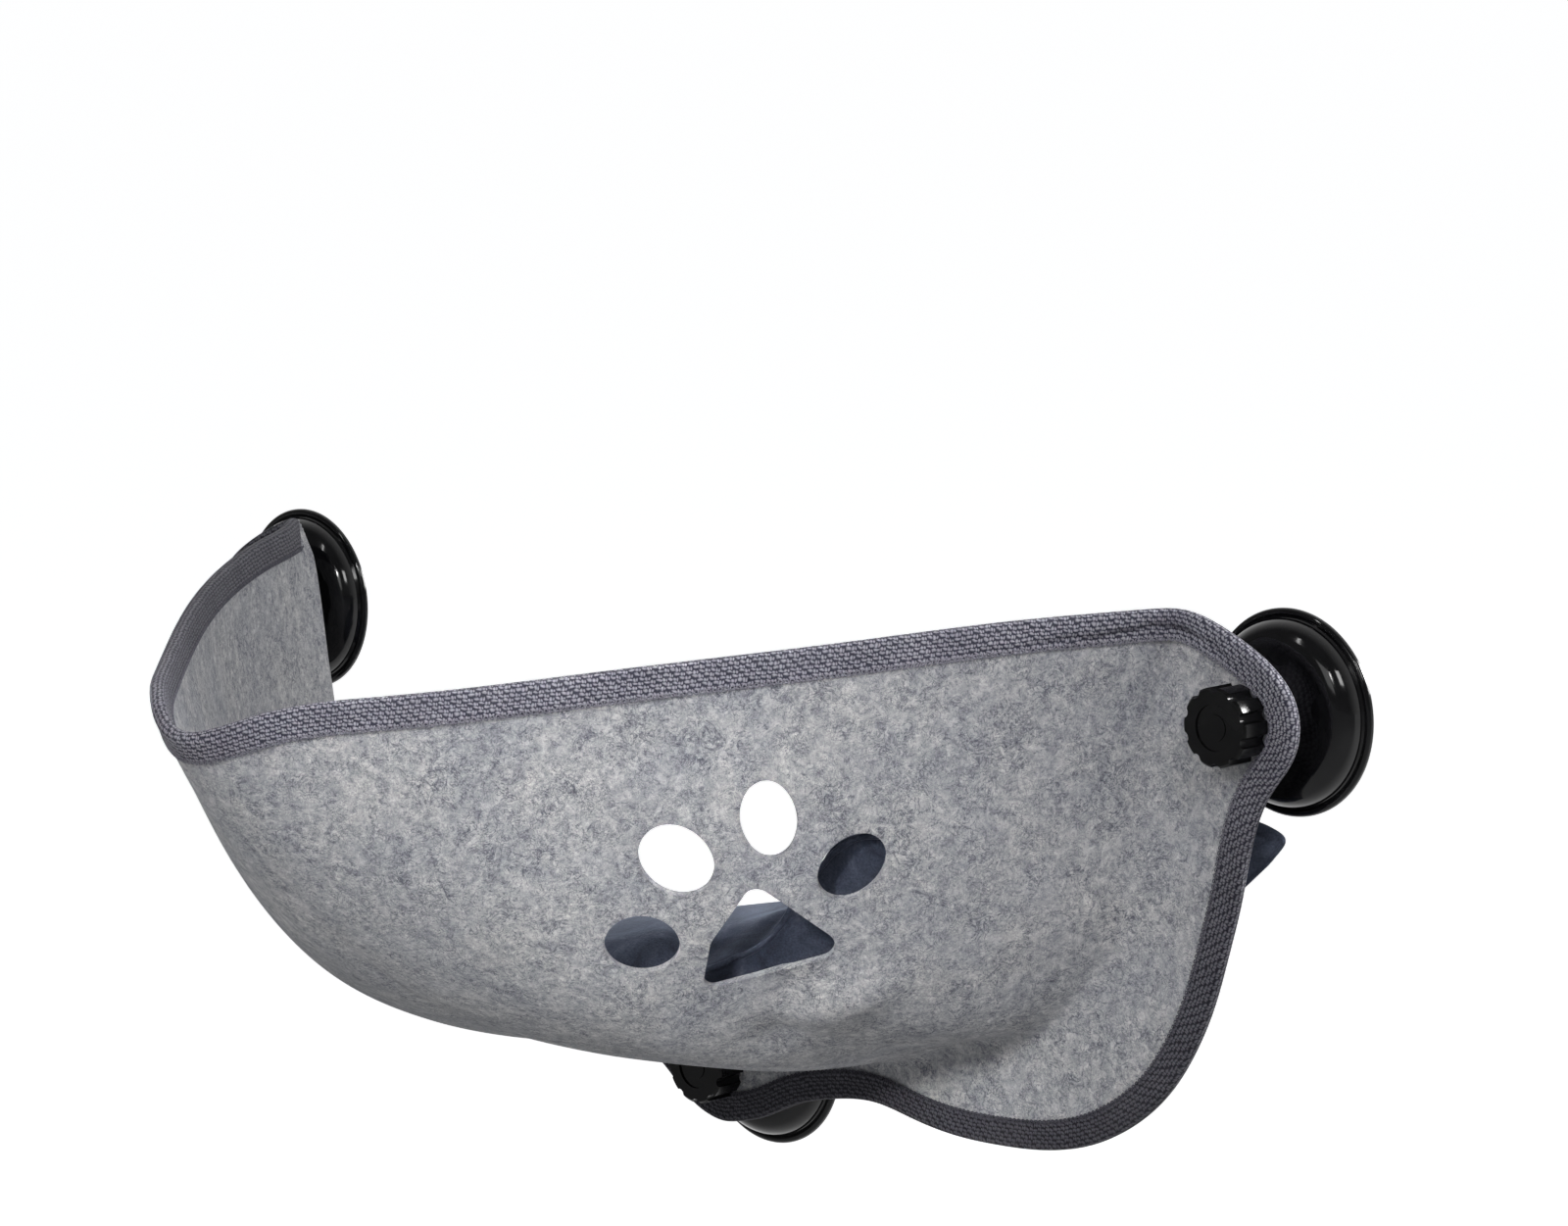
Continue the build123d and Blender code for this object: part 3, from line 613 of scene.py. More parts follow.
rim_run = (rim_run - rim_run[len(rim_points) - 1]) / rim_run[len(rim_points) - 1]
rim_line = smooth(rim_run, full_rim)
bend_run = run_lengths(bend_points)
bend_x = steady(bend_run / bend_run[-1], bend_points[:, 0])
bend_z = steady(bend_run / bend_run[-1], bend_points[:, 1])


# Both wings share the first 208 mm of the outline. Beyond that a column's foot on the left lobe is
# taken at the same share of what is left as on the right one.
shared_run = 208.0


def wing_side(points):
    run = run_lengths(points)
    line = smooth(run, points)
    own = (run[-1] - shared_run) / (run_lengths(outline_points)[-1] - shared_run)
    meets = [0, 50, 108, 162] + [shared_run + (at - shared_run) * own for at in (208, 268, 344, 415, 466)]
    meets.append(run[-1])
    across = steady([0, 24, 75, 126, 159, 200, 246, 298, 348, bend_run[-1]], meets)
    return line, across


wing_sides = {1.0: wing_side(outline_points), -1.0: wing_side(left_points)}
print("rim", round(run_lengths(full_rim)[-1]), "bend", round(bend_run[-1]))
print("left lobe down to", round(left_points[:, 1].min()))

# %% [markdown]
# A column of the sheet starts at the rim, bellies out as a conic arc to the bend, and runs across the
# flat wing to the outline. Each column is divided evenly, and the corner at the bend is rounded a
# little, as felt can't take a sharp crease. The columns stand side by side, closer towards the peaks.

# %% Columns of the sheet
column_count, pouch_rows, wing_rows = 261, 84, 16
arc_points, wing_points = 160, 30
crowding, last_turn = 0.35, 0.972
even_shares = np.linspace(-1, 1, column_count)
column_shares = np.sin(even_shares * math.pi / 2 * last_turn)
column_shares = crowding * column_shares + (1 - crowding) * even_shares * abs(column_shares[-1])
# The arc's pull point lies between rim and bend, by one share sideways and by the other in height.
reach_share = smooth([0, 0.25, 0.5, 0.75, 1], [0.394, 0.202, 0.215, 0.147, 0.133])
drop_share = smooth([0, 0.25, 0.5, 0.75, 1], [1.11, 1.031, 1.014, 1.018, 1.004])


# The weight of the pull point: at 1 the arc is a parabola, and below 1 it is flatter.
def fullness(share):
    return np.interp(share, [0, 0.5, 1], [0.988, 0.998, 0.8])


def column(share):
    size = abs(share)
    rim = rim_line(share)[0]
    sign = -1.0 if share < 0 else 1.0
    bend = np.array([sign * bend_x(size)[0], felt_y, bend_z(size)[0]])
    a, b = reach_share(size)[0, 0], drop_share(size)[0, 0]
    pull = rim + (bend - rim) * np.array([a, a, b])
    w = fullness(size)
    t = np.linspace(0, 1, arc_points)[:, None]
    top = rim * (1 - t) ** 2 + 2 * w * t * (1 - t) * pull + bend * t ** 2
    pouch = top / ((1 - t) ** 2 + 2 * w * t * (1 - t) + t ** 2)
    outline_line, across_wing = wing_sides[sign]
    edge = outline_line(across_wing((1 - size) * bend_run[-1]))[0]
    edge = np.array([sign * edge[0], felt_y, edge[1]])
    wing = bend + (edge - bend) * np.linspace(0, 1, wing_points)[:, None]
    return np.r_[evenly(pouch, pouch_rows), evenly(wing, wing_rows + 1)[1:]]


def rounded(grid, passes=10, reach=4):
    soft_grid = grid.copy()
    for _ in range(passes):
        for r in range(pouch_rows - 1 - reach, pouch_rows + reach):
            soft_grid[:, r] = (soft_grid[:, r - 1] + 2 * soft_grid[:, r] + soft_grid[:, r + 1]) / 4
    return soft_grid


sheet = rounded(np.stack([column(share) for share in column_shares]))
print("sheet grid", sheet.shape[:2])

# %% [markdown]
# Waves, thickness and tape all stand off the sheet at a right angle, so each point of the grid gets a
# direction: the cross product of the two ways through the grid, turned towards the room.


# %% Sheet normals
def room_normals(grid):
    along = np.gradient(grid, axis=0)
    down = np.gradient(grid, axis=1)
    normal = np.cross(along, down)
    normal = normal / np.maximum(np.linalg.norm(normal, axis=2, keepdims=True), 1e-9)
    wing_point = normal[len(grid) // 2, pouch_rows + 6]
    return -normal if wing_point[1] > 0 else normal


outward = room_normals(sheet)
print("room side", outward[130, 90].round(2))

# %% [markdown]
# Hung felt is never a perfect surface. The pouch was folded flat for shipping, which left a line down
# the right wall and a shallow bulge with two dents under the paw. The whole sheet also has slow waves
# less than a millimetre high. They die out towards the border, where the tape keeps the felt straight.

# %% Waves and the fold
# Each bulge or dent: its middle, half its length and width, its slant in radians and its height.
pressed = [
    (164, -121, -115, 25, 9, 0.45, 5.6),
    (148, -138, -109, 9, 7, 1.2, -3.4),
    (131, -127, -131, 14, 8, 0.5, -3.6),
]
wave_height, fold_height = 0.55, 0.9
calm_rows, wing_calm = 10, 0.35


def waves(grid, normals):
    x, y, z = (grid[..., k] for k in range(3))
    slow = np.sin(x / 41 + 1.3) * np.sin(z / 33 + y / 57)
    slow = slow + 0.6 * np.sin(y / 29 + 0.4) * np.cos(x / 27 + z / 45)
    lift = wave_height * slow
    fold = np.exp(-((x - 160 - (z + 60) * 0.10) / 3.2) ** 2) * (y < -45)
    lift += fold_height * fold * np.exp(-((z + 75) / 75) ** 2)
    for x0, y0, z0, half_length, half_width, slant, height in pressed:
        across = ((x - x0) + (y - y0)) / math.sqrt(2)
        up_wall = z - z0
        first = across * math.cos(slant) + up_wall * math.sin(slant)
        second = -across * math.sin(slant) + up_wall * math.cos(slant)
        near = np.exp(-((x - x0 - (y - y0)) / 110) ** 2)
        lift += height * np.exp(-(first / half_length) ** 2 - (second / half_width) ** 2) * near
    rows = np.arange(grid.shape[1])
    calm = np.clip(np.minimum(rows / calm_rows, (grid.shape[1] - 1 - rows) / calm_rows), 0, 1)
    calm[pouch_rows - 4:] *= wing_calm
    return grid + normals * (lift * calm)[..., None]


sheet = waves(sheet, outward)
outward = room_normals(sheet)
print("sheet box", sheet.reshape(-1, 3).min(0).round(), sheet.reshape(-1, 3).max(0).round())

# %% [markdown]
# The tape is folded over the whole border: along the rim, round each peak and along the wing. It is
# built as one closed strip that follows the border of the sheet, so the border comes first. The felt is
# cut round at the two peaks, where the rim runs into the wing, because tape can't be sewn round a point.

# %% Border helpers
peaks = np.array([sheet[0, 0], sheet[-1, 0]])
border_passes, peak_passes, facing_passes = 6, 40, 30
border_near, sheet_near = 40, 60


def border_loop(grid):
    return np.r_[grid[:, 0], grid[::-1, -1]]


def distances(points, others):
    return np.linalg.norm(points[:, None] - others[None], axis=2)


def border_stations(grid, normals, pitch, peak_reach):
    loop = border_loop(grid)
    loop_normals = border_loop(normals)
    closed = np.r_[loop, loop[:1]]
    closed_normals = np.r_[loop_normals, loop_normals[:1]]
    run = run_lengths(closed)
    at = np.linspace(0, run[-1], int(run[-1] / pitch), endpoint=False)
    points = taken_at(closed, run, at)
    faces_out = taken_at(closed_normals, run, at)
    at_peak = np.exp(-(distances(points, peaks).min(1) / peak_reach) ** 4)[:, None]
    for _ in range(border_passes):
        points = eased(points)
    for _ in range(peak_passes):
        points = points + (eased(points) - points) * at_peak
    for _ in range(facing_passes):
        faces_out = eased(faces_out)
    faces_out /= np.linalg.norm(faces_out, axis=1, keepdims=True)
    return points, faces_out, run[-1]


# Draws the sheet's points near the peaks along, so that the felt ends where the smoothed border does.
def drawn_to(grid, stations, reach):
    loop = border_loop(grid)
    loop = loop[distances(loop, peaks).min(1) < border_near]
    pull = stations[distances(loop, stations).argmin(1)] - loop
    flat = grid.reshape(-1, 3).copy()
    near = distances(flat, peaks).min(1) < sheet_near
    apart = distances(flat[near], loop)
    weight = np.clip(1 - apart.min(1) / reach, 0, 1) ** 2
    flat[near] += pull[apart.argmin(1)] * weight[:, None]
    return flat.reshape(grid.shape)


print("peaks at", peaks.round().tolist())

# %% Border of the sheet
border, border_out, border_length = border_stations(sheet, outward, pitch=1.6, peak_reach=34)
sheet = drawn_to(sheet, border, reach=22.0)
tangent = np.roll(border, -1, 0) - np.roll(border, 1, 0)
tangent /= np.linalg.norm(tangent, axis=1, keepdims=True)
inward = np.cross(border_out, tangent)
inward /= np.linalg.norm(inward, axis=1, keepdims=True)
centre = sheet[:, pouch_rows // 2].mean(0)
if np.mean(np.sum(inward * (centre - border), axis=1)) < 0:
    inward = -inward
print("border stations", len(border), "length", round(border_length))

# %% [markdown]
# The rest of the file makes meshes from grids and lists of points, so a few helpers do what repeats:
# the faces of a grid, a mesh and its object, modifiers applied, and faces turned outwards.


# %% Mesh helpers
def grid_faces(count, rows, closed_along=False):
    faces = []
    for i in range(count if closed_along else count - 1):
        k = (i + 1) % count
        for j in range(rows - 1):
            faces.append((i * rows + j, i * rows + j + 1, k * rows + j + 1, k * rows + j))
    return faces


def mesh_from_grid(name, grid, closed_along=False):
    mesh = bpy.data.meshes.new(name)
    mesh.from_pydata((grid.reshape(-1, 3) / 1000).tolist(), [], grid_faces(*grid.shape[:2], closed_along))
    return mesh


print("faces of a 3 by 4 grid", len(grid_faces(3, 4)))


# %% Object helpers
def shade_smooth(mesh):
    mesh.polygons.foreach_set("use_smooth", [True] * len(mesh.polygons))


def piece(name, mesh, paint):
    thing = bpy.data.objects.new(name, mesh)
    scene.collection.objects.link(thing)
    mesh.materials.clear()
    mesh.materials.append(paint)
    shade_smooth(mesh)
    return thing


def evaluated(thing):
    return thing.evaluated_get(bpy.context.evaluated_depsgraph_get())


def applied(thing):
    bpy.context.view_layer.update()
    done = bpy.data.meshes.new_from_object(evaluated(thing))
    thing.modifiers.clear()
    old = thing.data
    thing.data = done
    bpy.data.meshes.remove(old)


def outwards(mesh):
    shape = bmesh.new()
    shape.from_mesh(mesh)
    bmesh.ops.recalc_face_normals(shape, faces=shape.faces)
    shape.to_mesh(mesh)
    shape.free()


def points_of(thing):
    return np.array([v.co for v in thing.data.vertices])


def move_points(thing, points):
    thing.data.vertices.foreach_set("co", points.ravel())
    thing.data.update()


print("object helpers ready")

# %% [markdown]
# The sheet gets its four millimetres from a closed shell: the grid is copied to both sides and joined
# along its border.


# %% Thick sheet
def thick_sheet(grid, normals, thick):
    count, rows = grid.shape[:2]
    both = np.stack([grid + normals * thick / 2, grid - normals * thick / 2])
    n = count * rows
    faces = []
    for a, b, c, d in grid_faces(count, rows):
        faces += [(a, b, c, d), (n + d, n + c, n + b, n + a)]
    edge = [i * rows for i in range(count)]
    edge += [(count - 1) * rows + j for j in range(1, rows)]
    edge += [i * rows + rows - 1 for i in range(count - 2, -1, -1)]
    edge += list(range(rows - 2, 0, -1))
    faces += [(a, b, n + b, n + a) for a, b in zip(edge, edge[1:] + edge[:1])]
    mesh = bpy.data.meshes.new("felt_sheet")
    mesh.from_pydata((both.reshape(-1, 3) / 1000).tolist(), [], faces)
    outwards(mesh)
    return mesh


closed_sheet = thick_sheet(sheet, outward, felt_thick)
print("closed sheet faces", len(closed_sheet.polygons))

# %% [markdown]
# The paw and the three eyelet holes are punched through the felt, as a die does it in the factory. Each
# punch is a prism through the wall: four ovals for the toes, a rounded polygon for the pad and a circle
# for each eyelet. They are laid out in a plane square to the wall at the paw's middle.


# %% Shapes of a punch
def prism(outline, origin, across, up, reach):
    away = np.cross(across, up)
    ring = np.array([origin + a * across + u * up for a, u in outline])
    n = len(ring)
    points = np.r_[ring - away * reach, ring + away * reach] / 1000
    faces = [tuple(range(n - 1, -1, -1)), tuple(range(n, 2 * n))]
    faces += [(k, (k + 1) % n, n + (k + 1) % n, n + k) for k in range(n)]
    mesh = bpy.data.meshes.new("punch")
    mesh.from_pydata(points.tolist(), [], faces)
    outwards(mesh)
    thing = bpy.data.objects.new("punch", mesh)
    scene.collection.objects.link(thing)
    return thing


def oval(across, up, long_radius, short_radius, turn_degrees, count=56):
    c, s = math.cos(math.radians(turn_degrees)), math.sin(math.radians(turn_degrees))
    line = []
    for k in range(count):
        a = 2 * math.pi * k / count
        x, y = long_radius * math.cos(a), short_radius * math.sin(a)
        line.append((across + x * c - y * s, up + x * s + y * c))
    return line


def rounded_polygon(corners, radii, steps_round=14):
    line = []
    n = len(corners)
    for k, radius in enumerate(radii):
        here, before, after = (np.array(corners[j % n], float) for j in (k, k - 1, k + 1))
        a, b = before - here, after - here
        a, b = a / np.linalg.norm(a), b / np.linalg.norm(b)
        half = math.acos(np.clip(a @ b, -1, 1)) / 2
        start, end = here + a * radius / math.tan(half), here + b * radius / math.tan(half)
        centre = here + (a + b) / np.linalg.norm(a + b) * radius / math.sin(half)
        first = math.atan2(*(start - centre)[::-1])
        sweep = (math.atan2(*(end - centre)[::-1]) - first + math.pi) % (2 * math.pi) - math.pi
        for s in range(steps_round + 1):
            angle = first + sweep * s / steps_round
            line.append(tuple(centre + radius * np.array([math.cos(angle), math.sin(angle)])))
    return line


print("points round an oval", len(oval(0, 0, 2, 1, 0)))

# %% Punches for the paw and the eyelets
paw_origin = np.array([157.3, -163.7, -62.3])
paw_across = np.array([1.0, 1.0, 0.0]) / math.sqrt(2)
paw_out = np.array([0.677, -0.677, -0.289])
paw_up = np.cross(paw_out / np.linalg.norm(paw_out), paw_across)
# Each toe: its middle across and up, its long and short radius, and its turn in degrees.
toes = [(-46.2, -26.3, 15.4, 14.2, -14), (-31, 13.1, 17.2, 14.1, -55), (6.4, 29.8, 17.0, 11.4, 96),
        (39.3, 7.6, 16.1, 11.9, 48)]
pad = rounded_polygon([(-0.5, 3.0), (38.5, -30.5), (-23.0, -52.0), (-18.5, -26.0)], (6.0, 7.0, 4.0, 16.0))
cup_places = [(-302.0, 0.0), (302.0, 0.0), (0.0, -178.0)]
eyelet_radius, paw_reach, eyelet_reach = 5.0, 45.0, 20.0
outlines = [oval(*toe) for toe in toes] + [pad]
punches = [prism(outline, paw_origin, paw_across, paw_up, paw_reach) for outline in outlines]
for x, z in cup_places:
    ring = oval(0, 0, eyelet_radius, eyelet_radius, 0, 32)
    middle, sideways, upwards = np.array([x, felt_y, z]), np.array([1.0, 0, 0]), np.array([0, 0, 1.0])
    punches.append(prism(ring, middle, sideways, upwards, eyelet_reach))
print("punches", len(punches), "paw up", paw_up.round(3))

# %% [markdown]
# An exact boolean takes the punches out of the sheet and leaves clean, closed edges. The felt is a
# hung sheet: it hangs on the three studs and carries its own weight and the cushion's.


felt = piece("felt_sling_sheet", closed_sheet, felt_paint)
for punch in punches:
    cut = felt.modifiers.new("cut", "BOOLEAN")
    cut.operation = "DIFFERENCE"
    cut.solver = "EXACT"
    cut.object = punch
applied(felt)
for punch in punches:
    bpy.data.objects.remove(punch)
felt.data.materials.clear()
felt.data.materials.append(felt_paint)
felt.data.polygons.foreach_set("material_index", [0] * len(felt.data.polygons))
shade_smooth(felt.data)
felt.data.set_sharp_from_angle(angle=math.radians(40))
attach(felt, "sling")
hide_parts("felt_sling")
print("felt faces", len(felt.data.polygons))

# %% [markdown]
# At every station the strip runs in over the outer face, round the edge and back over the inner face.
# Each point is dropped on to the sheet first, so the tape lies on the felt wherever that curves. Near
# the right peak the photograph shows a crease along the tape, so the outer leg sinks there a little.


# %% Crease of the tape
def grid_tree(grid):
    return BVHTree.FromPolygons([Vector(p) for p in grid.reshape(-1, 3)], grid_faces(*grid.shape[:2]))


sheet_tree = grid_tree(sheet)
tape_width, tape_thick = 11.0, 0.9
right_peak = np.linalg.norm(border - peaks[1], axis=1).argmin()
station_pitch = border_length / len(border)
from_peak = (np.arange(len(border)) - right_peak) * station_pitch


# How deep the groove is at a station, at a depth in from the edge, and how far the tape swells there.
def crease_at(k, depth_in):
    way = from_peak[k]
    line = np.interp(way, [-95, -45, 0, 25, 50], [9.6, 7.4, 5.2, 6.0, 8.0])
    line += 0.55 * math.sin(way / 6.1) + 0.35 * math.sin(way / 2.7 + 1.0)
    strength = np.interp(way, [-100, -60, -35, 0, 20, 48], [0.0, 0.35, 0.9, 1.0, 0.9, 0.0])
    strength *= 0.85 + 0.15 * math.sin(way / 4.3)
    groove = math.exp(-((depth_in - line) / 0.85) ** 2)
    swell = math.exp(-((depth_in - line + 2.6) / 1.9) ** 2)
    return strength * groove, strength * swell


print("right peak at station", int(right_peak), "crease there", round(crease_at(right_peak, 5.6)[0], 2))

# %% Sections of the tape
felt_gap, groove_depth, swell_height = 0.15, 0.95, 0.6
foot_sunk, foot_share, foot_wide = 0.2, 0.55, 0.35
fold_count, fold_share, fold_back = 9, 0.62, 0.3
leg_depths = np.r_[np.linspace(tape_width, 1.6, 15), 0.6]
out_skin = felt_thick / 2 + felt_gap


def on_sheet(point, face):
    return point + face * np.dot(np.array(sheet_tree.find_nearest(Vector(point))[0]) - point, face)


def tape_section(k):
    face, edge_in, start = border_out[k], inward[k], border[k]
    section, dark = [], []
    for side in (1, -1):
        leg, tone = [], []
        for d in leg_depths:
            groove, swell = crease_at(k, d) if side == 1 else (0.0, 0.0)
            height = out_skin + tape_thick - groove_depth * groove + swell_height * swell
            leg.append(on_sheet(start + edge_in * d, face) + side * face * height)
            tone.append(groove)
        low = on_sheet(start + edge_in * tape_width, face)
        feet = [low + side * face * (out_skin - foot_sunk),
                low + side * face * (out_skin + tape_thick * foot_share) + edge_in * foot_wide]
        if side == 1:
            section += feet + leg
            dark += [0.0, 0.0] + tone
            radius = out_skin + tape_thick
            for a in np.linspace(0, math.pi, fold_count)[1:-1]:
                away = edge_in * (radius * fold_share * math.sin(a) - fold_back)
                section.append(start + face * radius * math.cos(a) - away)
                dark.append(0.0)
        else:
            section += leg[::-1] + feet[::-1]
            dark += tone[::-1] + [0.0, 0.0]
    return section, dark


print("points in a section", len(tape_section(0)[0]))

# %% [markdown]
# The sections become one closed strip. Each face corner gets its place along and across the strip as
# UV, in metres, and each point gets the crease's depth as an attribute, for the woven finish to read.


# %% Edge tape
def tape_strip():
    made = [tape_section(k) for k in range(len(border))]
    sections = np.array([m[0] for m in made])
    dark = np.array([m[1] for m in made])
    for _ in range(2):
        sections = eased(sections)
    mesh = mesh_from_grid("edge_tape", sections, closed_along=True)
    outwards(mesh)
    crease = mesh.attributes.new("crease", "FLOAT", "POINT")
    crease.data.foreach_set("value", dark.ravel().astype(np.float32))
    layout = mesh.uv_layers.new(name="strip")
    count, rows = sections.shape[:2]
    across = run_lengths(sections[0]) / 1000
    along = np.linspace(0, border_length, count, endpoint=False) / 1000
    step = station_pitch / 1000
    for face in mesh.polygons:
        stations = [v // rows for v in face.vertices]
        wraps = max(stations) - min(stations) > 1
        for loop in face.loop_indices:
            i, j = divmod(mesh.loops[loop].vertex_index, rows)
            x = along[i] if not (wraps and i == 0) else along[-1] + step
            layout.data[loop].uv = (x, across[j])
    return mesh, sections


strip_mesh, strip_sections = tape_strip()
edge_tape = piece("edge_tape", strip_mesh, tape_paint)
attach(edge_tape, "sling")
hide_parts("rim_tape", "wing_tape")
print("tape faces", len(strip_mesh.polygons))

# %% [markdown]
# Both edges of the tape end in a chain of small thread loops, one every 2.4 mm, nearly eight hundred on
# each side of the felt. Geometry Nodes set them: a line along each edge is divided evenly, and a small
# ring of thread lies at every point, turned flat on the face and along the edge.


# %% A new tree with its sizes
def new_tree(name, sizes):
    tree = bpy.data.node_groups.new(name, "GeometryNodeTree")
    for way in ("INPUT", "OUTPUT"):
        tree.interface.new_socket(name="Geometry", in_out=way, socket_type="NodeSocketGeometry")
    keys = {}
    for label, value in sizes.items():
        size = tree.interface.new_socket(name=label, in_out="INPUT", socket_type="NodeSocketFloat")
        size.default_value = value
        keys[label] = size.identifier
    return tree, keys


print("tree helper ready")


# %% Tree that sets loops along a line
def loop_tree(paint):
    tree, keys = new_tree("edge_loops", {"Loop pitch": 0.003, "Loop radius": 0.001, "Thread radius": 0.0003})
    add, link = tree.nodes.new, tree.links.new
    start, end = add("NodeGroupInput"), add("NodeGroupOutput")
    curve = add("GeometryNodeMeshToCurve")
    divide = add("GeometryNodeResampleCurve")
    divide.mode = "LENGTH"
    points = add("GeometryNodeCurveToPoints")
    points.mode = "EVALUATED"
    ring = add("GeometryNodeCurvePrimitiveCircle")
    ring.inputs["Resolution"].default_value = 9
    section = add("GeometryNodeCurvePrimitiveCircle")
    section.inputs["Resolution"].default_value = 4
    tube = add("GeometryNodeCurveToMesh")
    facing = add("GeometryNodeInputNamedAttribute")
    facing.data_type = "FLOAT_VECTOR"
    facing.inputs["Name"].default_value = "facing"
    stand = add("FunctionNodeAlignRotationToVector")
    stand.axis = "Z"
    lean = add("FunctionNodeAlignRotationToVector")
    lean.axis = "X"
    lean.pivot_axis = "Z"
    tangent_at = add("GeometryNodeInputTangent")
    keep_tangent = add("GeometryNodeCaptureAttribute")
    keep_tangent.capture_items.new("VECTOR", "Tangent")
    spread = add("GeometryNodeInstanceOnPoints")
    real = add("GeometryNodeRealizeInstances")
    coat = add("GeometryNodeSetMaterial")
    coat.inputs["Material"].default_value = paint
    link(start.outputs["Geometry"], curve.inputs["Mesh"])
    link(curve.outputs["Curve"], divide.inputs["Curve"])
    link(start.outputs["Loop pitch"], divide.inputs["Length"])
    link(divide.outputs["Curve"], keep_tangent.inputs["Geometry"])
    link(tangent_at.outputs["Tangent"], keep_tangent.inputs["Tangent"])
    link(keep_tangent.outputs["Geometry"], points.inputs["Curve"])
    link(start.outputs["Loop radius"], ring.inputs["Radius"])
    link(start.outputs["Thread radius"], section.inputs["Radius"])
    link(ring.outputs["Curve"], tube.inputs["Curve"])
    link(section.outputs["Curve"], tube.inputs["Profile Curve"])
    link(facing.outputs["Attribute"], stand.inputs["Vector"])
    link(stand.outputs["Rotation"], lean.inputs["Rotation"])
    link(keep_tangent.outputs["Tangent"], lean.inputs["Vector"])
    link(points.outputs["Points"], spread.inputs["Points"])
    link(tube.outputs["Mesh"], spread.inputs["Instance"])
    link(lean.outputs["Rotation"], spread.inputs["Rotation"])
    link(spread.outputs["Instances"], real.inputs["Geometry"])
    link(real.outputs["Geometry"], coat.inputs["Geometry"])
    link(coat.outputs["Geometry"], end.inputs["Geometry"])
    return tree, keys


edge_loop_tree, loop_keys = loop_tree(thread_paint)
print("loop inputs", loop_keys)


# %% Edge loops
def path_object(name, points, facing, closed=True):
    mesh = bpy.data.meshes.new(name)
    count = len(points)
    edges = [(k, (k + 1) % count) for k in range(count if closed else count - 1)]
    mesh.from_pydata((points / 1000).tolist(), edges, [])
    store = mesh.attributes.new("facing", "FLOAT_VECTOR", "POINT")
    store.data.foreach_set("vector", facing.ravel().astype(np.float32))
    thing = bpy.data.objects.new(name, mesh)
    scene.collection.objects.link(thing)
    return thing


def grown(thing, tree, values):
    node = thing.modifiers.new("grow", "NODES")
    node.node_group = tree
    for key, value in values.items():
        node[key] = value
    applied(thing)
    shade_smooth(thing.data)
    return thing


# A line between two neighbouring points of every section, a little off the face.
def edge_line(nearest, next_in, stand_off):
    return strip_sections[:, nearest] * 0.55 + strip_sections[:, next_in] * 0.45 + border_out * stand_off


outer_line, inner_line = edge_line(2, 3, 0.12), edge_line(-3, -4, -0.12)
loop_sizes = {loop_keys["Loop pitch"]: 0.0024, loop_keys["Loop radius"]: 0.00088,
              loop_keys["Thread radius"]: 0.00030}
for name, line, way in (("edge_loops_outer", outer_line, border_out),
                        ("edge_loops_inner", inner_line, -border_out)):
    loops = grown(path_object(name, line, way), edge_loop_tree, loop_sizes)
    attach(loops, "sling")
    print(name, "faces", len(loops.data.polygons))

# %% [markdown]
# The cushion is a loose pad of pile cloth that slumps along the bottom of the pouch. It starts from the
# solid of its filling, which is a little smaller than the cover.

# %% Cushion skin
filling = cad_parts["cushion_filling"]


def merged_copy(source, name):
    shape = bmesh.new()
    shape.from_mesh(source.data)
    bmesh.ops.remove_doubles(shape, verts=shape.verts, dist=1e-5)
    mesh = bpy.data.meshes.new(name)
    shape.to_mesh(mesh)
    shape.free()
    return mesh


cushion = piece("cushion_pad", merged_copy(filling, "cushion"), cushion_paint)
print("skin faces", len(cushion.data.polygons))

# %% [markdown]
# The skin is remeshed evenly, drawn in a little and blown up with a cloth simulation, which gives the
# soft crown and the small folds. The movement is capped, so the cushion stays in its solid's room.


# %% Blow up the cushion
def blow_up(thing, voxel, shrink, pressure, cap, frames):
    remesh = thing.modifiers.new("even", "REMESH")
    remesh.mode = "VOXEL"
    remesh.voxel_size = voxel
    applied(thing)
    normals = np.array([v.normal for v in thing.data.vertices])
    rest_in = points_of(thing) - normals * shrink
    move_points(thing, rest_in)
    cloth = thing.modifiers.new("cloth", "CLOTH")
    setup = cloth.settings
    setup.quality = 6
    setup.mass = 0.25
    setup.use_pressure = True
    setup.uniform_pressure_force = pressure
    setup.tension_stiffness = 12.0
    setup.compression_stiffness = 8.0
    setup.shear_stiffness = 5.0
    setup.bending_stiffness = 0.25
    setup.effector_weights.gravity = 0.0
    cloth.collision_settings.use_collision = False
    cloth.collision_settings.use_self_collision = False
    for number in range(1, frames + 1):
        scene.frame_set(number)
    moved = points_of(evaluated(thing)) - rest_in
    thing.modifiers.clear()
    scene.frame_set(1)
    size = np.linalg.norm(moved, axis=1, keepdims=True)
    moved *= np.minimum(1.0, cap / np.maximum(size, 1e-9))
    move_points(thing, rest_in + moved)
    print("moved up to", round(float(size.max()) * 1000, 1), "mm")


blow_up(cushion, voxel=0.0040, shrink=0.0012, pressure=3.5, cap=0.007, frames=20)
print("cushion reaches", points_of(cushion).max(0).round(3))

# %% [markdown]
# Seen through the paw, the cushion stands higher along the pouch's wall than its solid does, as a pad
# that was pushed into a pouch rides up at its edge. So the points near the wall are lifted, most at the
# paw's right toe, and drawn to the wall, while the underside stays where it is.

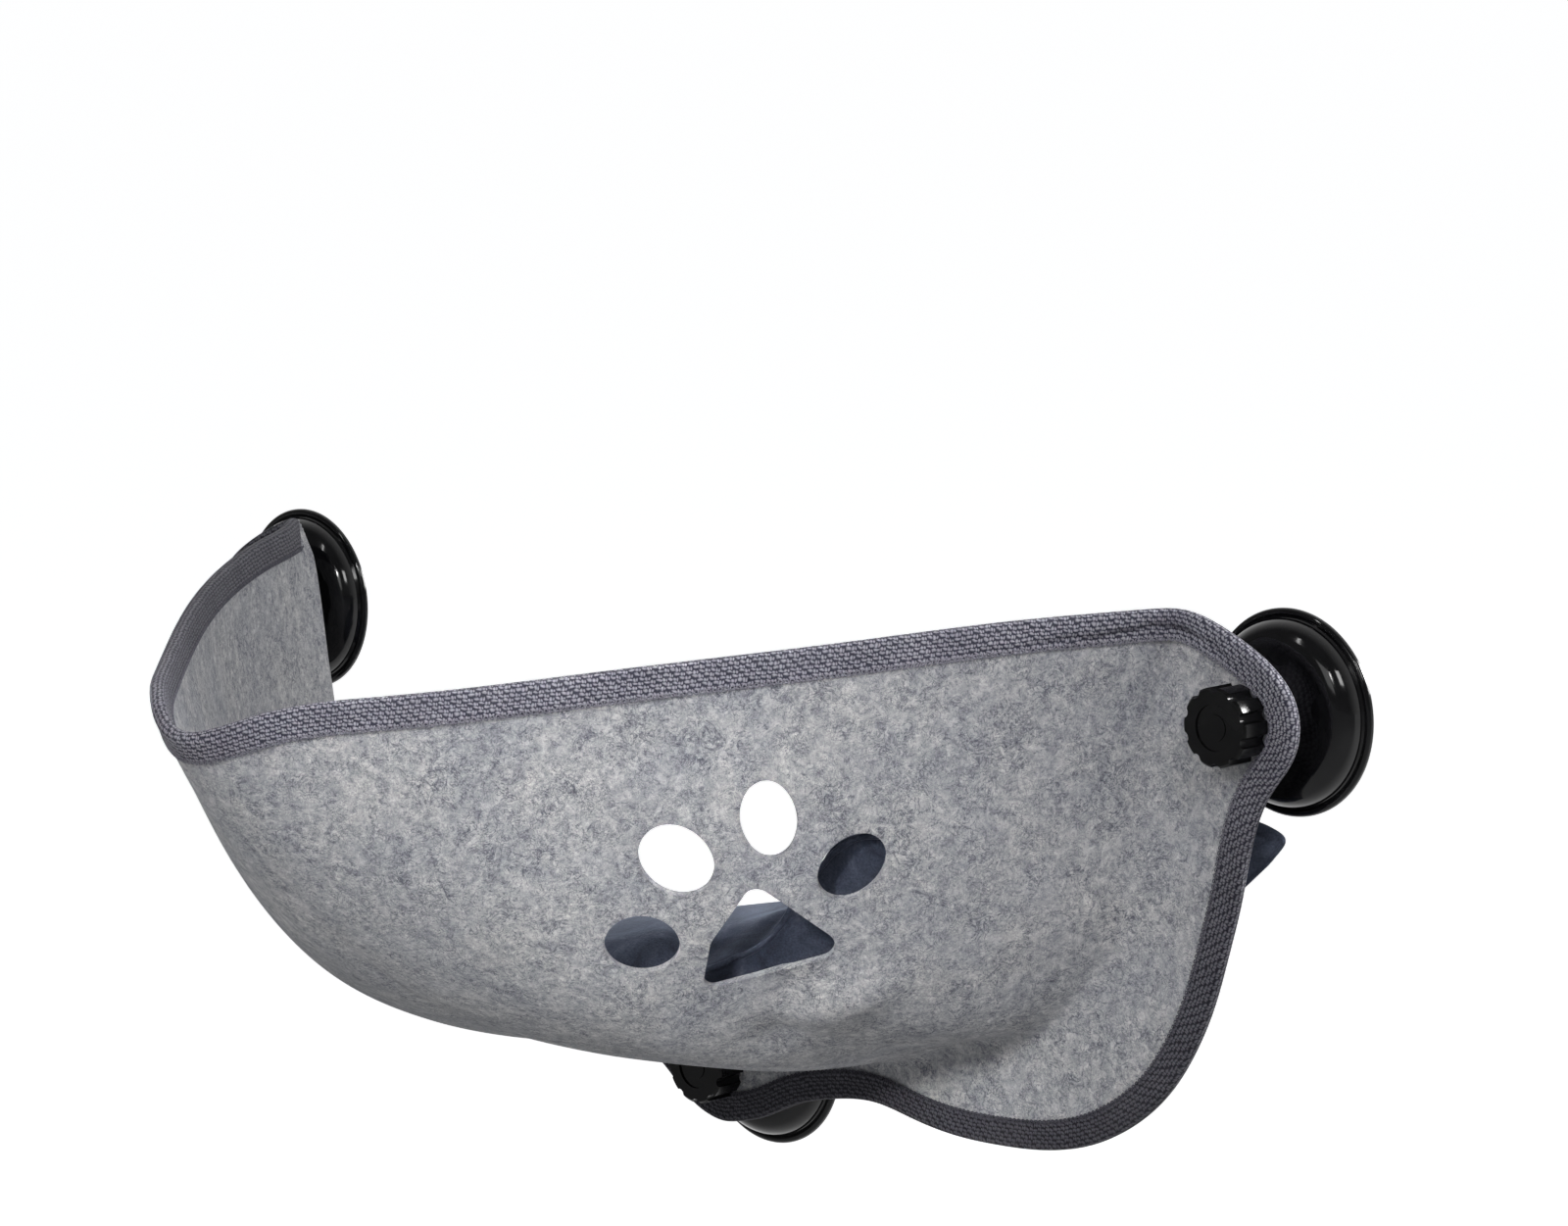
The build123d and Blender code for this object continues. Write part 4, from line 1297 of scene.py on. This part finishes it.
# %% Raise the edge along the wall
raise_x = [105, 120, 135, 150, 160, 168, 176, 183, 190, 200, 212]
raise_by = [0, 8, 10, 14, 21, 25, 24, 18, 9, 3, 0]
raise_from, raise_to, raise_front = 104, 214, -50
slice_pitch, slice_half = 6.0, 5
near_wall, far_wall, full_height = 20, 56, 0.75
wall_gap, pull_reach, pull_share = 4.0, 22, 0.85
steepest = 0.8


def soft_step(value):
    value = np.clip(value, 0, 1)
    return value * value * (3 - 2 * value)


def raised_edge(thing, tree):
    points = points_of(thing) * 1000
    slices = np.arange(100, 222, slice_pitch)
    cuts = [points[abs(points[:, 0] - x) < slice_half, 2] for x in slices]
    low, top = [cut.min() for cut in cuts], [cut.max() for cut in cuts]
    across = (points[:, 0] > raise_from) & (points[:, 0] < raise_to)
    for k in np.flatnonzero(across & (points[:, 1] < raise_front)):
        x, y, z = points[k]
        hit, side, _, apart = tree.find_nearest(Vector(points[k]))
        if hit is None or abs(side.z) > steepest:
            continue
        near = soft_step((far_wall - apart) / (far_wall - near_wall))
        low_z, top_z = np.interp(x, slices, low), np.interp(x, slices, top)
        height = soft_step((z - low_z) / (full_height * (top_z - low_z)))
        points[k, 2] += np.interp(x, raise_x, raise_by) * near * height
        gap = max(0.0, apart - wall_gap)
        pull = (Vector(hit) - Vector((x, y, z))) * (pull_share * near * height * gap / max(apart, 1e-6))
        if gap < pull_reach:
            points[k, :2] += np.array(pull)[:2] * (1 - gap / pull_reach)
    move_points(thing, points / 1000)


raised_edge(cushion, sheet_tree)
print("edge raised up to", max(raise_by), "mm")

# %% [markdown]
# Blown up and raised, some points may lie in the felt. Each point that is nearer to the middle of the
# sheet than half its thickness and a small gap is pushed back into the pouch. One level of subdivision
# then rounds the faces off.


# %% Keep the cushion off the felt
def keep_clear(thing, grid, normals, thick, gap, reach=0.02):
    tree = grid_tree(grid / 1000)
    inside = -normals.reshape(-1, 3)
    need = thick / 2000 + gap
    pushed = 0
    for v in thing.data.vertices:
        hit, _, face, _ = tree.find_nearest(v.co)
        if hit is None:
            continue
        i, j = divmod(face, grid.shape[1] - 1)
        side = Vector(inside[i * grid.shape[1] + j])
        height = (v.co - hit).dot(side)
        if height < need and (v.co - hit).length < reach:
            v.co += side * (need - height)
            pushed += 1
    thing.data.update()
    return pushed


print("pushed off the felt", keep_clear(cushion, sheet, outward, felt_thick, gap=0.0009))
grow = cushion.modifiers.new("fine", "SUBSURF")
grow.levels = grow.render_levels = 1
applied(cushion)
print("cushion faces", len(cushion.data.polygons))

# %% [markdown]
# At the right the cushion ends in a flat corner that pokes out behind the wing. It is a pillow of its
# own: an outline, a flange about five millimetres wide, the seam as a groove beside it, and behind the
# seam the cloth swells. The half thickness depends only on the distance to the outline.

# %% Rings of the corner
corner_outline = np.array([
    (247, -56), (252, -49.5), (262, -44.3), (277, -42.3), (292, -42.4), (299.5, -44.1), (305.8, -46.2),
    (308.7, -47.7), (309.8, -49.4), (309.2, -51.3), (306.8, -54.2), (300.6, -60.6), (290.7, -69.2),
    (282.3, -76.4), (272, -84.0), (262, -89.0), (252, -86.5), (247, -78), (245.5, -67),
], float)
edge_round, seam_width, swell_reach, most_swell = 1.2, 0.7, 6.5, 6.4
narrow_flange, wide_flange = 1.6, 5.5


def corner_middle_y(x):
    return np.interp(x, [246, 270, 300], [-18, -16, -14])


def corner_rings(outline, middle, stations, rings):
    closed = np.r_[outline, outline[:1]]
    run = run_lengths(closed)
    at = np.linspace(0, run[-1], stations, endpoint=False)
    loop = taken_at(closed, run, at)
    for _ in range(3):
        loop = eased(loop)
    flange = narrow_flange + (wide_flange - narrow_flange) * soft_step((loop[:, 1] + 56) / 8)
    both = []
    for side in (1, -1):
        for t in np.linspace(0, 1, rings) ** 1.25:
            ring = loop + (middle - loop) * t * 0.995
            apart = distances(ring, loop)
            d, seam = apart.min(1), flange[apart.argmin(1)]
            rim = edge_round * np.sqrt(1 - (1 - np.clip(d / edge_round, 0, 1)) ** 2)
            groove = 1 - 0.55 * np.exp(-((d - seam) / seam_width) ** 2)
            swell = most_swell * (1 - np.exp(-np.clip(d - seam, 0, None) / swell_reach))
            fold = 0.55 * np.sin(ring[:, 0] / 3.9 + ring[:, 1] / 5.7) * np.clip(d / 9, 0, 1)
            centre_y = corner_middle_y(ring[:, 0])
            y = centre_y + side * (rim * groove + swell) + fold
            both.append(np.stack([ring[:, 0], y, ring[:, 1]], 1))
    first, second = both[:rings], both[rings:]
    return np.stack(first[::-1] + second[1:]).transpose(1, 0, 2)


print("corner outline points", len(corner_outline))

# %% Mesh of the corner
corner_grid = corner_rings(corner_outline, middle=np.array([274.0, -61.0]), stations=180, rings=26)
corner = mesh_from_grid("corner", corner_grid, closed_along=True)
shape = bmesh.new()
shape.from_mesh(corner)
open_edges = [edge for edge in shape.edges if edge.is_boundary]
bmesh.ops.holes_fill(shape, edges=open_edges, sides=0)
bmesh.ops.recalc_face_normals(shape, faces=shape.faces)
shape.to_mesh(corner)
shape.free()
print("corner faces", len(corner.polygons))

# %% [markdown]
# The simulated body also has an end here. It is tucked inside the corner, thinner and thinner towards
# its tip, and the corner's mesh is then joined to it, so the cushion stays one piece.


# %% Join the corner to the body
def tucked(thing, start_x=252):
    points = points_of(thing) * 1000
    share = np.interp(points[:, 0], [252, 276, 306], [1.0, 0.55, 0.25])
    middle_y = corner_middle_y(points[:, 0])
    middle_z = np.interp(points[:, 0], [252, 276, 306], [-66, -60, -50.5])
    far = points[:, 0] > start_x
    points[far, 1] = (middle_y + (points[:, 1] - middle_y) * share)[far]
    points[far, 2] = (middle_z + (points[:, 2] - middle_z) * share)[far]
    move_points(thing, points / 1000)


tucked(cushion)
both = bmesh.new()
both.from_mesh(cushion.data)
both.from_mesh(corner)
both.to_mesh(cushion.data)
both.free()
print("cushion faces with the corner", len(cushion.data.polygons))

# %% [markdown]
# The two halves of the cover are sewn together all round, and the seam stands up as a thin welt. It
# follows the widest line of the cushion, so that line is found first, in slices along the window.
# Geometry Nodes then lay a round cord of cloth along it.


# %% Line of the welt
def widest_line(thing, stations, slice_half=3.5, edge_depth=1.6, lift=0.25, passes=6, count=420):
    points = points_of(thing) * 1000
    front, back = [], []
    for x in stations:
        cut = points[abs(points[:, 0] - x) < slice_half]
        for side, line in ((-1, front), (1, back)):
            reach = cut[:, 1] * side
            line.append(cut[reach > reach.max() - edge_depth].mean(0))
    line = np.r_[np.array(front)[::-1], np.array(back)]
    for _ in range(passes):
        line[1:-1] = (line[:-2] + 2 * line[1:-1] + line[2:]) / 4
    faces = [tuple(f.vertices) for f in thing.data.polygons]
    surface = BVHTree.FromPolygons([Vector(p) for p in points], faces)
    snapped, facing = [], []
    for point in evenly(line, count):
        hit, side, _, _ = surface.find_nearest(Vector(point))
        snapped.append(np.array(hit + side * lift))
        facing.append(np.array(side))
    return np.array(snapped), np.array(facing)


welt_stations = np.arange(-192, 250, 7.0)
welt_line, welt_facing = widest_line(cushion, welt_stations)
print("welt points", len(welt_line), "length", round(run_lengths(welt_line)[-1]), "mm")


# %% Tree that lays a cord of cloth
def cord_tree(paint):
    tree, keys = new_tree("welt", {"Step": 0.003, "Cord radius": 0.001})
    add, link = tree.nodes.new, tree.links.new
    start, end = add("NodeGroupInput"), add("NodeGroupOutput")
    curve = add("GeometryNodeMeshToCurve")
    divide = add("GeometryNodeResampleCurve")
    divide.mode = "LENGTH"
    section = add("GeometryNodeCurvePrimitiveCircle")
    section.inputs["Resolution"].default_value = 10
    tube = add("GeometryNodeCurveToMesh")
    tube.inputs["Fill Caps"].default_value = True
    coat = add("GeometryNodeSetMaterial")
    coat.inputs["Material"].default_value = paint
    link(start.outputs["Geometry"], curve.inputs["Mesh"])
    link(curve.outputs["Curve"], divide.inputs["Curve"])
    link(start.outputs["Step"], divide.inputs["Length"])
    link(start.outputs["Cord radius"], section.inputs["Radius"])
    link(divide.outputs["Curve"], tube.inputs["Curve"])
    link(section.outputs["Curve"], tube.inputs["Profile Curve"])
    link(tube.outputs["Mesh"], coat.inputs["Geometry"])
    link(coat.outputs["Geometry"], end.inputs["Geometry"])
    return tree, keys


welt_tree, welt_keys = cord_tree(cushion_paint)
welt = grown(path_object("cushion_welt", welt_line, welt_facing, closed=False), welt_tree,
             {welt_keys["Step"]: 0.0025, welt_keys["Cord radius"]: 0.0013})
outwards(welt.data)
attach(welt, "cushion")
print("welt faces", len(welt.data.polygons))

# %% [markdown]
# The finished cushion stands for two solids, its cover and the filling that the cover hides, and rides
# on the body that lifts. It is a padded piece that is half filled, so it lies flat.

# %% Cushion ready
shade_smooth(cushion.data)
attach(cushion, "cushion")
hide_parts("cushion_cover", "cushion_filling")
print("cushion faces", len(cushion.data.polygons))

# %% [markdown]
# The rigid pieces are right as solids, so they keep their meshes and only get their finishes.
# Their names start with the kind of piece, and the first kind that fits gives the finish.

# %% Finishes of the rigid pieces
finishes = {
    "suction_cup": rubber_paint, "stud": steel_paint, "eyelet": eyelet_paint, "washer": steel_paint,
    "knob_nut": brass_paint, "knob": knob_paint, "cushion_filling": filling_paint,
}
for name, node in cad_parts.items():
    for start, paint in finishes.items():
        if name.startswith(start):
            for k in range(len(node.data.materials)):
                node.data.materials[k] = paint
            break
print("nodes", len(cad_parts))
